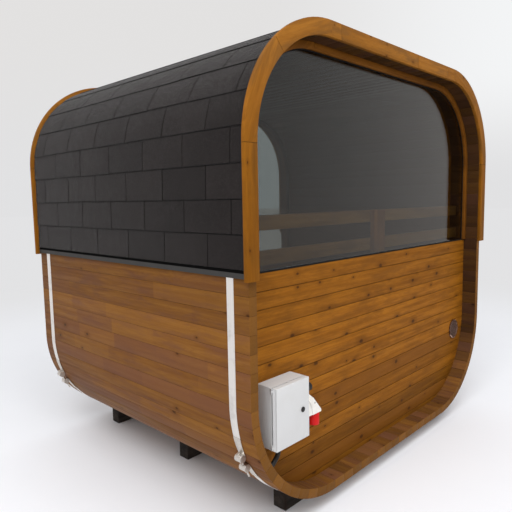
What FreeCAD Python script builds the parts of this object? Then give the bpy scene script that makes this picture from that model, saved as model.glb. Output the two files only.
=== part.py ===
import FreeCAD, Part
import math
import os

import Sketcher

# Garden sauna cabin with a rounded square section
# Origin on the ground under the middle of the cabin. The staves run along Y, the end with the big
# window faces -Y, the end with the door faces +Y, and +Z is up. All sizes are in millimetres.

DRIVING_SIZES = {
    # Shell of staves
    "stave_width": 2380, "stave_height": 2200, "stave_length": 1880, "stave_thickness": 45,
    "upper_corner_radius": 540, "lower_corner_radius": 585, "stave_joint": 0.5,
    # Bearers under the shell
    "bearer_height": 70, "bearer_width": 78, "bearer_side_inset": 355,
    "front_bearer_inset": 170, "rear_bearer_inset": 210, "seat_gap": 0.3,
    # Roof cover, eaves flashing and fascia boards
    "eaves_height": 1196, "flashing_face": 25, "flashing_reveal": 10, "flashing_thickness": 1.5,
    "flashing_nose": 9, "course_height": 142, "course_lap": 3.5, "shingle_thickness": 3.5,
    "ridge_cap_width": 260, "ridge_cap_thickness": 6,
    "fascia_width": 73, "fascia_thickness": 20, "fascia_stand_out": 28, "fascia_end_drop": 8,
    "fascia_joint": 1, "fascia_arc_joint": 48,
    # End walls
    "end_recess": 95, "end_wall_thickness": 45, "sill_height": 1200, "sill_thickness": 6,
    "glass_thickness": 20, "glass_set_back": 6, "gasket_width": 5, "gasket_thickness": 2,
    "trim_width": 34, "trim_thickness": 18, "fit_gap": 0.3,
    # Door end
    "door_side_width": 760, "door_height": 1900, "door_base_height": 150, "frame_width": 50,
    "side_sill_height": 925, "leaf_stile_width": 90, "leaf_thickness": 40, "leaf_gap": 5,
    "leaf_glass_thickness": 8, "handle_bar": 30, "handle_reach": 55, "handle_length": 500,
    "handle_leg_inset": 40, "door_hinge_diameter": 18, "door_hinge_length": 90,
    "door_hinge_inset": 180,
    # Round ventilation grille
    "vent_from_side": 200, "vent_height": 559, "vent_diameter": 134, "vent_rim": 10,
    "vent_depth": 8, "vent_slot": 8, "vent_slat": 8,
    # Bands and their T-bolt tensioners
    "band_width": 42, "band_thickness": 1.5, "band_gap": 0.2, "band_inset": 108,
    "tensioner_angle": 27.2, "trunnion_span": 56, "trunnion_diameter": 28, "loop_width": 38,
    "loop_wall": 3, "strap_length": 82, "strap_lap": 15, "rod_diameter": 9, "rod_tail": 42,
    "rod_head": 3, "rod_slot_side": 1, "nut_across": 16, "nut_height": 9,
    # Electric supply box
    "box_from_side": 136, "box_width": 223, "box_bottom": 431, "box_height": 280,
    "box_depth": 112, "box_door_depth": 24, "box_seam": 5, "box_wall": 3, "box_plate_inset": 12,
    "box_plate_thickness": 2, "hinge_barrel": 5, "hinge_pin": 2.4, "hinge_length": 24,
    "hinge_inset": 2, "hinge_clearance": 0.5, "hinge_leaf": 6, "hinge_leaf_thickness": 1.6,
    "lock_diameter": 24, "lock_height": 3, "lock_from_edge": 47,
    # Supply inlet on the side of the box, the gland over it and the conduit under the box
    "inlet_base_height": 499, "inlet_reach": 129, "inlet_width": 56, "inlet_neck_width": 48,
    "inlet_edge": 3, "inlet_lip": 12, "inlet_shoulder_reach": 66, "inlet_shoulder_rise": 88,
    "inlet_neck_reach": 38, "inlet_neck_rise": 111, "inlet_flange": 67, "inlet_cheek_reach": 35,
    "inlet_cheek_rise": 77, "inlet_cheek_radius": 121, "inlet_collar_diameter": 54,
    "inlet_collar_length": 59, "inlet_collar_inset": 25, "inlet_wall": 3, "inlet_floor": 6,
    "gland_height": 633, "gland_nut": 44, "gland_nut_length": 20, "gland_cap": 40,
    "gland_reach": 70, "conduit_diameter": 22, "conduit_from_left": 86, "conduit_drop": 41,
    "conduit_bend": 45,
    # Backrest behind the window
    "rail_height": 68, "rail_thickness": 26, "upper_rail_from_sill": 172, "lower_rail_from_sill": 12,
    "post_width": 118, "post_thickness": 26, "post_x": 22, "post_drop": 60,
}

# Where the joints of the top fascia fall, as shares of its length from the left
FASCIA_JOINT_SHARES = (0.057, 0.633, 0.931)

doc = FreeCAD.newDocument("sauna_cabin")
sheet = doc.addObject("Spreadsheet::Sheet", "sizes")
for row, (alias, number) in enumerate(DRIVING_SIZES.items(), start=1):
    sheet.set("A%d" % row, alias)
    sheet.set("B%d" % row, str(number))
    sheet.setAlias("B%d" % row, alias)
doc.recompute()


class Size:
    """A length or angle that carries its number together with the sheet formula behind it."""

    def __init__(self, number, formula):
        self.number = float(number)
        self.formula = formula

    def __add__(self, other):
        other = as_size(other)
        return Size(self.number + other.number, "(%s + %s)" % (self.formula, other.formula))

    def __sub__(self, other):
        other = as_size(other)
        return Size(self.number - other.number, "(%s - %s)" % (self.formula, other.formula))

    def __mul__(self, other):
        other = as_size(other)
        return Size(self.number * other.number, "(%s * %s)" % (self.formula, other.formula))

    def __truediv__(self, other):
        other = as_size(other)
        return Size(self.number / other.number, "(%s / %s)" % (self.formula, other.formula))

    def __neg__(self):
        return Size(-self.number, "(0 - %s)" % self.formula)

    def __radd__(self, other):
        return as_size(other) + self

    def __rsub__(self, other):
        return as_size(other) - self

    def __rmul__(self, other):
        return as_size(other) * self


def as_size(value):
    return value if isinstance(value, Size) else Size(value, repr(float(value)))


def cos_of(angle):
    return Size(math.cos(math.radians(angle.number)), "cos(%s * 1 deg)" % angle.formula)


def sin_of(angle):
    return Size(math.sin(math.radians(angle.number)), "sin(%s * 1 deg)" % angle.formula)


def root_of(value):
    return Size(math.sqrt(value.number), "sqrt(%s)" % value.formula)


def dim(alias):
    return Size(float(sheet.get(alias)), "sizes.%s" % alias)


def bind(thing, name, value):
    """Set a property and tie it to the sheet."""
    value = as_size(value)
    thing.setExpression(name, value.formula)


def place(thing, x=0, y=0, z=0):
    for axis, value in zip("xyz", (x, y, z)):
        bind(thing, "Placement.Base." + axis, value)


class Corner:
    """Vertex of an outline. With a radius the way to the next vertex is an arc, whose centre lies on
    the left of the walk when side is 1 and on the right when it is -1."""

    def __init__(self, x, z, radius=None, side=1):
        self.x = as_size(x)
        self.z = as_size(z)
        self.radius = radius
        self.side = side


def mirrored(outline):
    """The same outline on the other side of the middle plane, still walked the same way round."""
    flipped = []
    count = len(outline)
    for index in range(count):
        here = outline[(count - index) % count]
        arc = outline[(count - index - 1) % count]
        flipped.append(Corner(-here.x, here.z, arc.radius, arc.side))
    return flipped


def arc_between(start, end, radius, side):
    """Circle arc from start to end; side +1 has its centre on the left of the walk, -1 on the right."""
    chord = end - start
    half = chord.Length / 2
    middle = (start + end) / 2
    across = FreeCAD.Vector(-chord.y, chord.x, 0).normalize()
    centre = middle + across * (side * math.sqrt(max(radius * radius - half * half, 0.0)))
    circle = Part.Circle(centre, FreeCAD.Vector(0, 0, 1), radius)
    first, last = (start, end) if side > 0 else (end, start)
    return Part.ArcOfCircle(circle, circle.parameter(first), circle.parameter(last))


def draw_outline(sketch, outline):
    """Add one closed outline to a sketch, each vertex and radius tied to the sheet."""
    count = len(outline)
    base = sketch.GeometryCount
    ends = []
    for index, corner in enumerate(outline):
        following = outline[(index + 1) % count]
        start = FreeCAD.Vector(corner.x.number, corner.z.number, 0)
        end = FreeCAD.Vector(following.x.number, following.z.number, 0)
        if corner.radius is None:
            sketch.addGeometry(Part.LineSegment(start, end), False)
            ends.append((1, 2))
        else:
            sketch.addGeometry(arc_between(start, end, corner.radius.number, corner.side), False)
            ends.append((1, 2) if corner.side > 0 else (2, 1))
    for index, corner in enumerate(outline):
        after = (index + 1) % count
        sketch.addConstraint(Sketcher.Constraint("Coincident", base + index, ends[index][1],
                                                 base + after, ends[after][0]))
        for kind, value in (("DistanceX", corner.x), ("DistanceY", corner.z)):
            number = sketch.addConstraint(Sketcher.Constraint(kind, -1, 1, base + index,
                                                              ends[index][0], value.number))
            sketch.setExpression("Constraints[%d]" % number, value.formula)
        if corner.radius is not None:
            number = sketch.addConstraint(Sketcher.Constraint("Radius", base + index,
                                                              corner.radius.number))
            sketch.setExpression("Constraints[%d]" % number, corner.radius.formula)


def origin_plane(body, role):
    return next(plane for plane in body.Origin.OriginFeatures if plane.Role == role)


def plate(label, outlines, front, depth, role="XZ_Plane"):
    """Body padded from flat outlines. In the XZ plane it runs from y = front to front + depth."""
    body = doc.addObject("PartDesign::Body", label)
    body.Label = label
    body.AllowCompound = True
    sketch = body.newObject("Sketcher::SketchObject", label + "_outline")
    sketch.AttachmentSupport = [(origin_plane(body, role), "")]
    sketch.MapMode = "FlatFace"
    for outline in outlines:
        draw_outline(sketch, outline)
    pad = body.newObject("PartDesign::Pad", label + "_pad")
    pad.Profile = sketch
    bind(pad, "Length", depth)
    pad.Reversed = role == "XZ_Plane"
    if role == "XZ_Plane":
        place(body, y=front)
    elif role == "XY_Plane":
        place(body, z=front)
    else:
        place(body, x=front)
    sketch.Visibility = False
    return body


def rectangle(left, right, bottom, top):
    return [Corner(left, bottom), Corner(right, bottom), Corner(right, top), Corner(left, top)]


def block(label, low, high):
    """Part box between two opposite corners."""
    box = doc.addObject("Part::Box", label)
    for name, start, end in zip(("Length", "Width", "Height"), low, high):
        bind(box, name, as_size(end) - start)
    place(box, *low)
    return box


def rod(label, start, diameter, length, axis):
    """Round bar that starts at a point and runs along an axis given as a unit vector."""
    bar = doc.addObject("Part::Cylinder", label)
    bind(bar, "Radius", as_size(diameter) / 2)
    bind(bar, "Height", length)
    turn = FreeCAD.Rotation(FreeCAD.Vector(0, 0, 1), FreeCAD.Vector(*axis))
    bar.Placement = FreeCAD.Placement(FreeCAD.Vector(0, 0, 0), turn)
    place(bar, *start)
    return bar


def joined(label, pieces):
    fuse = doc.addObject("Part::MultiFuse", label)
    fuse.Shapes = pieces
    fuse.Refine = True
    return fuse


def cut_out(label, base, tool):
    cut = doc.addObject("Part::Cut", label)
    cut.Base = base
    cut.Tool = tool
    return cut


def set_apart(label, pieces):
    """Several solids that keep apart in one node."""
    group = doc.addObject("Part::Compound", label)
    group.Links = pieces
    return group


subparts = []


def keep(thing):
    thing.Label = thing.Name
    subparts.append(thing)
    return thing


# Levels and lines that the pieces share

half_width = dim("stave_width") / 2
half_length = dim("stave_length") / 2
shell_bottom = dim("bearer_height")
shell_top = shell_bottom + dim("stave_height")
wall = dim("stave_thickness")
upper_radius = dim("upper_corner_radius")
lower_radius = dim("lower_corner_radius")
upper_centre_x = half_width - upper_radius
upper_centre_z = shell_top - upper_radius
lower_centre_x = half_width - lower_radius
lower_centre_z = shell_bottom + lower_radius
fit = dim("fit_gap")
seam = dim("stave_joint")


def upper_point(offset, angle):
    """Point on the left upper corner arc; the angle rises from the wall line to the roof line."""
    radius = upper_radius + offset
    return -(upper_centre_x + radius * cos_of(angle)), upper_centre_z + radius * sin_of(angle)


def lower_point(offset, angle):
    """Point on the left lower corner arc; the angle falls from the wall line to the floor line."""
    radius = lower_radius + offset
    return -(lower_centre_x + radius * cos_of(angle)), lower_centre_z - radius * sin_of(angle)


def upper_left_arc(inner, outer, first, last):
    """Ring sector on the left upper corner between two offsets and two angles."""
    return [
        Corner(*upper_point(outer, first), upper_radius + outer, -1),
        Corner(*upper_point(outer, last)),
        Corner(*upper_point(inner, last), upper_radius + inner, 1),
        Corner(*upper_point(inner, first)),
    ]


def lower_left_arc(inner, outer, first, last):
    """Ring sector on the left lower corner between two offsets and two angles."""
    return [
        Corner(*lower_point(outer, first), lower_radius + outer, 1),
        Corner(*lower_point(outer, last)),
        Corner(*lower_point(inner, last), lower_radius + inner, -1),
        Corner(*lower_point(inner, first)),
    ]


# Shell of staves: floor, walls and roof as flat panels, four rounded corners

flat_start = as_size(0)
quarter = as_size(90)


def shell_of_staves():
    front = -half_length
    length = dim("stave_length")
    keep(plate("floor_staves", [rectangle(-lower_centre_x + seam, lower_centre_x - seam,
                                          shell_bottom, shell_bottom + wall)], front, length))
    keep(plate("roof_staves", [rectangle(-upper_centre_x + seam, upper_centre_x - seam,
                                         shell_top - wall, shell_top)], front, length))
    side = rectangle(-half_width, -half_width + wall, lower_centre_z + seam, upper_centre_z - seam)
    keep(plate("left_wall_staves", [side], front, length))
    keep(plate("right_wall_staves", [mirrored(side)], front, length))
    upper = upper_left_arc(-wall, as_size(0), flat_start, quarter)
    lower = lower_left_arc(-wall, as_size(0), flat_start, quarter)
    keep(plate("upper_left_corner_staves", [upper], front, length))
    keep(plate("upper_right_corner_staves", [mirrored(upper)], front, length))
    keep(plate("lower_left_corner_staves", [lower], front, length))
    keep(plate("lower_right_corner_staves", [mirrored(lower)], front, length))


# Bearers: dark beams across the bottom, hollowed on top to cradle the staves

def bearers():
    reach = half_width - dim("bearer_side_inset")
    clearance = dim("seat_gap")
    radius = lower_radius + clearance
    rise = lower_centre_z - root_of(radius * radius - (reach - lower_centre_x) * (reach - lower_centre_x))
    saddle = shell_bottom - clearance
    outline = [
        Corner(-reach, 0), Corner(reach, 0),
        Corner(reach, rise, radius, -1), Corner(lower_centre_x, saddle),
        Corner(-lower_centre_x, saddle, radius, -1), Corner(-reach, rise),
    ]
    front = dim("front_bearer_inset") - half_length
    rear = half_length - dim("rear_bearer_inset")
    for name, centre in (("front_bearer", front), ("middle_bearer", (front + rear) / 2),
                         ("rear_bearer", rear)):
        keep(plate(name, [outline], centre - dim("bearer_width") / 2, dim("bearer_width")))


# Steel bands round the shell

band_inner = dim("band_gap")
band_outer = band_inner + dim("band_thickness")
shell_degree = as_size(180 / math.pi) / (lower_radius + band_outer)
loop_upper_angle = dim("tensioner_angle") - dim("trunnion_span") / 2 * shell_degree
loop_lower_angle = dim("tensioner_angle") + dim("trunnion_span") / 2 * shell_degree
band_upper_end = loop_upper_angle - dim("strap_length") * shell_degree
band_lower_end = loop_lower_angle + dim("strap_length") * shell_degree


def band(label, centre):
    left_up = [
        Corner(*lower_point(band_outer, band_upper_end), lower_radius + band_outer, -1),
        Corner(-half_width - band_outer, lower_centre_z),
        Corner(-half_width - band_outer, upper_centre_z, upper_radius + band_outer, -1),
        Corner(-upper_centre_x, shell_top + band_outer),
    ]
    left_down = [
        Corner(-upper_centre_x, shell_top + band_inner, upper_radius + band_inner, 1),
        Corner(-half_width - band_inner, upper_centre_z),
        Corner(-half_width - band_inner, lower_centre_z, lower_radius + band_inner, 1),
        Corner(*lower_point(band_inner, band_upper_end)),
    ]
    start_x, start_z = lower_point(band_outer, band_upper_end)
    inner_x, inner_z = lower_point(band_inner, band_upper_end)
    over = left_up + [
        Corner(upper_centre_x, shell_top + band_outer, upper_radius + band_outer, -1),
        Corner(half_width + band_outer, upper_centre_z),
        Corner(half_width + band_outer, lower_centre_z, lower_radius + band_outer, -1),
        Corner(-start_x, start_z),
        Corner(-inner_x, inner_z, lower_radius + band_inner, 1),
        Corner(half_width + band_inner, lower_centre_z),
        Corner(half_width + band_inner, upper_centre_z, upper_radius + band_inner, 1),
        Corner(upper_centre_x, shell_top + band_inner),
    ] + left_down
    low_outer_x, low_outer_z = lower_point(band_outer, band_lower_end)
    low_inner_x, low_inner_z = lower_point(band_inner, band_lower_end)
    under = [
        Corner(low_outer_x, low_outer_z, lower_radius + band_outer, 1),
        Corner(-lower_centre_x, shell_bottom - band_outer),
        Corner(lower_centre_x, shell_bottom - band_outer, lower_radius + band_outer, 1),
        Corner(-low_outer_x, low_outer_z),
        Corner(-low_inner_x, low_inner_z, lower_radius + band_inner, -1),
        Corner(lower_centre_x, shell_bottom - band_inner),
        Corner(-lower_centre_x, shell_bottom - band_inner, lower_radius + band_inner, -1),
        Corner(low_inner_x, low_inner_z),
    ]
    keep(plate(label, [over, under], centre - dim("band_width") / 2, dim("band_width")))


# T-bolt tensioner: tapered straps end in folded loops, whose trunnions a threaded rod draws together

along_y = FreeCAD.Vector(0, 1, 0)


def tensioner_seat(angle, facing):
    """Place on the left lower corner: X along the band towards the gap, Z away from the shell."""
    turn = math.radians(angle.number)
    x, z = lower_point(band_outer + fit, angle)
    along = FreeCAD.Vector(math.sin(turn), 0, -math.cos(turn)) * facing
    outward = FreeCAD.Vector(-math.cos(turn), 0, -math.sin(turn))
    rotation = FreeCAD.Rotation(along, outward.cross(along), outward, "XYZ")
    return FreeCAD.Placement(FreeCAD.Vector(x.number, 0, z.number), rotation)


def tapered_strap():
    """Strap that follows the shell's curve, from its lap over the band to the narrow loop at x = 0."""
    radius = (lower_radius + band_outer + fit).number
    skin = dim("band_thickness").number
    wide = dim("band_width").number / 2
    narrow = dim("loop_width").number / 2
    taper = -dim("strap_length").number
    end = taper - dim("strap_lap").number
    centre = FreeCAD.Vector(0, -wide, -radius)
    curved = Part.makeCylinder(radius + skin, 2 * wide, centre, along_y)
    curved = curved.cut(Part.makeCylinder(radius, 2 * wide, centre, along_y))
    plan = [(0, -narrow), (0, narrow), (taper, wide), (end, wide), (end, -wide), (taper, -wide)]
    depth = end * end / radius
    corners = [FreeCAD.Vector(x, y, -depth) for x, y in plan + plan[:1]]
    cutter = Part.Face(Part.makePolygon(corners)).extrude(FreeCAD.Vector(0, 0, 2 * depth))
    return curved.common(cutter)


def loop_and_trunnion(seat, rod_line):
    """Folded strap end with the trunnion that lies in it, both cut for the rod."""
    radius = dim("trunnion_diameter").number / 2
    skin = dim("loop_wall").number
    width = dim("loop_width").number
    centre = FreeCAD.Vector(0, -width / 2, radius + skin)
    ring = Part.makeCylinder(radius + skin, width, centre, along_y)
    loop = ring.fuse(tapered_strap())
    loop = loop.cut(Part.makeCylinder(radius, width, centre, along_y)).removeSplitter()
    trunnion = Part.makeCylinder(radius - fit.number, width, centre, along_y)
    loop.Placement = seat
    trunnion.Placement = seat
    start, direction, length = rod_line
    side = dim("rod_diameter").number + dim("rod_slot_side").number * 2
    slot = Part.makeBox(side, side, length, FreeCAD.Vector(-side / 2, -side / 2, 0))
    slot.Placement = FreeCAD.Placement(start, FreeCAD.Rotation(FreeCAD.Vector(0, 0, 1), direction))
    bore = Part.makeCylinder(dim("rod_diameter").number / 2 + fit.number, length, start, direction)
    return loop.cut(slot), trunnion.cut(bore)


def hex_nut(start, direction):
    """Hexagonal nut of the rod, its near face at the start point."""
    corner_radius = dim("nut_across").number / math.sqrt(3)
    corners = []
    for number in range(7):
        turn = math.pi / 3 * number
        corners.append(FreeCAD.Vector(corner_radius * math.cos(turn), corner_radius * math.sin(turn), 0))
    nut = Part.Face(Part.makePolygon(corners)).extrude(FreeCAD.Vector(0, 0, dim("nut_height").number))
    nut.Placement = FreeCAD.Placement(start, FreeCAD.Rotation(FreeCAD.Vector(0, 0, 1), direction))
    return nut


def tensioners(label, centre):
    """Both tensioners of a band, one at each lower corner."""
    upper = tensioner_seat(loop_upper_angle, 1)
    lower = tensioner_seat(loop_lower_angle, -1)
    radius = dim("trunnion_diameter").number / 2
    eye = FreeCAD.Vector(0, 0, radius + dim("loop_wall").number)
    upper_eye = upper.multVec(eye)
    lower_eye = lower.multVec(eye)
    direction = (lower_eye - upper_eye).normalize()
    reach = radius + dim("loop_wall").number + fit.number
    head = reach + dim("nut_height").number + dim("rod_head").number
    tail = reach + dim("rod_tail").number
    start = upper_eye - direction * head
    length = head + (lower_eye - upper_eye).Length + tail
    line = (start, direction, length)
    bolt = Part.makeCylinder(dim("rod_diameter").number / 2, length, start, direction)
    nut_low = hex_nut(lower_eye + direction * reach, direction)
    nut_high = hex_nut(upper_eye - direction * reach, -direction)
    solids = [bolt.fuse([nut_low, nut_high])]
    solids.extend(loop_and_trunnion(upper, line))
    solids.extend(loop_and_trunnion(lower, line))
    placed = []
    for solid in solids:
        solid.translate(FreeCAD.Vector(0, centre.number, 0))
        placed.append(solid)
        placed.append(solid.mirror(FreeCAD.Vector(0, 0, 0), FreeCAD.Vector(1, 0, 0)))
    feature = doc.addObject("Part::Feature", label)
    feature.Shape = Part.makeCompound(placed)
    keep(feature)


# Roof cover: stepped courses of shingles up each side, a cap along the ridge, metal at the eaves

flashing_inner = band_outer + dim("band_gap")
flashing_outer = flashing_inner + dim("flashing_thickness")
shingle_inner = flashing_outer + dim("band_gap")


cover_start = dim("eaves_height") + dim("flashing_face") + dim("flashing_reveal")
cover_straight = upper_centre_z - cover_start
cover_bend = upper_radius * (math.pi / 2)
cover_length = cover_straight + cover_bend + upper_centre_x - fit


def cover_point(distance, offset):
    """Point over the left half of the shell, a distance up from the lower edge of the cover."""
    if distance.number <= cover_straight.number:
        return -half_width - offset, cover_start + distance
    if distance.number <= (cover_straight + cover_bend).number:
        return upper_point(offset, (distance - cover_straight) / upper_radius * (180 / math.pi))
    return distance - cover_straight - cover_bend - upper_centre_x, shell_top + offset


def roof_cover():
    """Cover of each side, smooth inside and stepped outside at the lower edge of every course."""
    course = dim("course_height")
    thin = shingle_inner + dim("shingle_thickness")
    lap = dim("course_lap")
    facets = 3
    outline = []
    number = 0
    while (course * number).number < cover_length.number:
        start = course * number
        end = course * (number + 1)
        if end.number > cover_length.number:
            end = cover_length
        for step in range(facets + 1):
            share = step / facets
            outline.append(Corner(*cover_point(start + (end - start) * share, thin + lap * (1 - share))))
        number += 1
    outline += [
        Corner(-fit, shell_top + shingle_inner),
        Corner(-upper_centre_x, shell_top + shingle_inner, upper_radius + shingle_inner, 1),
        Corner(-half_width - shingle_inner, upper_centre_z),
        Corner(-half_width - shingle_inner, cover_start),
    ]
    keep(plate("left_roof_shingles", [outline], -half_length, dim("stave_length")))
    keep(plate("right_roof_shingles", [mirrored(outline)], -half_length, dim("stave_length")))
    half_cap = dim("ridge_cap_width") / 2
    cap_bottom = shell_top + thin + lap + fit
    cap = rectangle(-half_cap, half_cap, cap_bottom, cap_bottom + dim("ridge_cap_thickness"))
    keep(plate("ridge_cap_shingles", [cap], -half_length, dim("stave_length")))


def eaves_flashing():
    bottom = dim("eaves_height")
    face = -(half_width + flashing_outer)
    back = -(half_width + flashing_inner)
    nose = -(half_width + dim("flashing_nose"))
    sheet_edge = dim("flashing_thickness")
    top = cover_start + dim("flashing_face")
    outline = [
        Corner(nose, bottom), Corner(nose + sheet_edge, bottom),
        Corner(nose + sheet_edge, bottom + dim("flashing_face") - sheet_edge * 3),
        Corner(back, bottom + dim("flashing_face") - sheet_edge * 3),
        Corner(back, top), Corner(face, top),
        Corner(face, bottom + dim("flashing_face") - sheet_edge * 2),
        Corner(nose, bottom + dim("flashing_face") - sheet_edge * 2),
    ]
    keep(plate("eaves_flashings", [outline, mirrored(outline)], -half_length, dim("stave_length")))


# Fascia boards: curved timber over the stave ends and the edge of the roof cover

fascia_outer = dim("fascia_stand_out")
fascia_inner = fascia_outer - dim("fascia_width")


def fascia(end_name, front):
    gap = dim("fascia_joint")
    bend = dim("fascia_arc_joint")
    sliver = gap / upper_radius * (180 / math.pi)
    leg = rectangle(-half_width - fascia_outer, -half_width - fascia_inner, 
                    dim("eaves_height") - dim("fascia_end_drop"), upper_centre_z - gap)
    low_arc = upper_left_arc(fascia_inner, fascia_outer, flat_start, bend)
    high_arc = upper_left_arc(fascia_inner, fascia_outer, bend + sliver, quarter)
    side = [leg, low_arc, high_arc]
    keep(plate(end_name + "_fascia_left", side, front, dim("fascia_thickness")))
    keep(plate(end_name + "_fascia_right", [mirrored(part) for part in side], front,
               dim("fascia_thickness")))
    bottom = shell_top + fascia_inner
    top = shell_top + fascia_outer
    start = -upper_centre_x + gap
    length = upper_centre_x * 2 - gap
    shares = (0,) + FASCIA_JOINT_SHARES + (1,)
    boards = [rectangle(start + length * low, start + length * high - gap, bottom, top)
              for low, high in zip(shares[:-1], shares[1:])]
    keep(plate(end_name + "_fascia_top", boards, front, dim("fascia_thickness")))


# End walls, set back under the overhang of the staves

inner_half = half_width - wall - fit
inner_upper = upper_radius - wall - fit
inner_lower = lower_radius - wall - fit
inner_top = shell_top - wall - fit
inner_bottom = shell_bottom + wall + fit
wall_front = -half_length + dim("end_recess")
wall_back = wall_front + dim("end_wall_thickness")
vent_x = half_width - dim("vent_from_side")


def lower_infill(top):
    """Outline that follows the inside of the shell below a level."""
    return [
        Corner(-lower_centre_x, inner_bottom), Corner(lower_centre_x, inner_bottom, inner_lower, 1),
        Corner(inner_half, lower_centre_z), Corner(inner_half, top), Corner(-inner_half, top),
        Corner(-inner_half, lower_centre_z, inner_lower, 1),
    ]


def upper_infill(margin, bottom):
    """Outline that follows the inside of the shell above a level, held in by a margin."""
    return [
        Corner(-inner_half + margin, bottom), Corner(inner_half - margin, bottom),
        Corner(inner_half - margin, upper_centre_z, inner_upper - margin, 1),
        Corner(upper_centre_x, inner_top - margin),
        Corner(-upper_centre_x, inner_top - margin, inner_upper - margin, 1),
        Corner(-inner_half + margin, upper_centre_z),
    ]


def inner_strip(label, near, far, bottom, front, depth):
    """Curved strip round the inside of the shell above a level, in five lengths."""
    gap = dim("fascia_joint")
    tilt = gap / upper_radius * (180 / math.pi)
    left = -half_width + wall + fit
    leg = rectangle(left + near, left + far, bottom, upper_centre_z - gap)
    bend = upper_left_arc(-wall - fit - far, -wall - fit - near, flat_start, quarter - tilt)
    top = rectangle(-upper_centre_x + gap, upper_centre_x - gap, inner_top - far, inner_top - near)
    return plate(label, [leg, bend, top, mirrored(bend), mirrored(leg)], front, depth)


def window_end():
    sill = dim("sill_height")
    panel = plate("window_end_panel", [lower_infill(sill - dim("sill_thickness"))], wall_front,
                  dim("end_wall_thickness"))
    hole = rod("vent_hole", (vent_x, wall_front - fit, dim("vent_height")),
               dim("vent_diameter") - dim("vent_rim") * 2,
               dim("end_wall_thickness") + fit * 2, (0, 1, 0))
    keep(cut_out("window_end_wall", panel, hole))
    keep(plate("window_sill", [rectangle(-inner_half, inner_half, sill - dim("sill_thickness") + fit,
                                         sill)], wall_front, dim("end_wall_thickness")))
    glass_front = wall_front + dim("glass_set_back")
    keep(plate("window_glass", [upper_infill(fit, sill + fit)], glass_front, dim("glass_thickness")))
    gasket_front = glass_front - fit - dim("gasket_thickness")
    keep(inner_strip("window_gasket", as_size(0), dim("trim_width") + dim("gasket_width"), sill + fit,
                     gasket_front, dim("gasket_thickness")))
    keep(inner_strip("window_trim", as_size(0), dim("trim_width"), sill + fit,
                     gasket_front - fit - dim("trim_thickness"), dim("trim_thickness")))


# Round ventilation grille in the panel, with level slats

def vent():
    outer = dim("vent_diameter")
    depth = dim("vent_depth")
    slot = dim("vent_slot")
    front = wall_front - depth - fit
    disc = rod("vent_disc", (vent_x, front, dim("vent_height")), outer, depth, (0, 1, 0))
    step = slot + dim("vent_slat")
    clear = outer / 2 - dim("vent_rim")
    slots = []
    count = int((clear.number - dim("vent_slat").number) // step.number)
    for number in range(-count, count + 1):
        level = dim("vent_height") + step * number
        edge = step * abs(number) + slot / 2
        half = root_of(clear * clear - edge * edge)
        slots.append(block("vent_slot_%d" % (number + count),
                           (vent_x - half, front - fit, level - slot / 2),
                           (vent_x + half, front + depth + fit, level + slot / 2)))
    keep(cut_out("vent_grille", disc, joined("vent_slots", slots)))


# Door end: a framed glass door between two side lights over boarded panels

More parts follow.
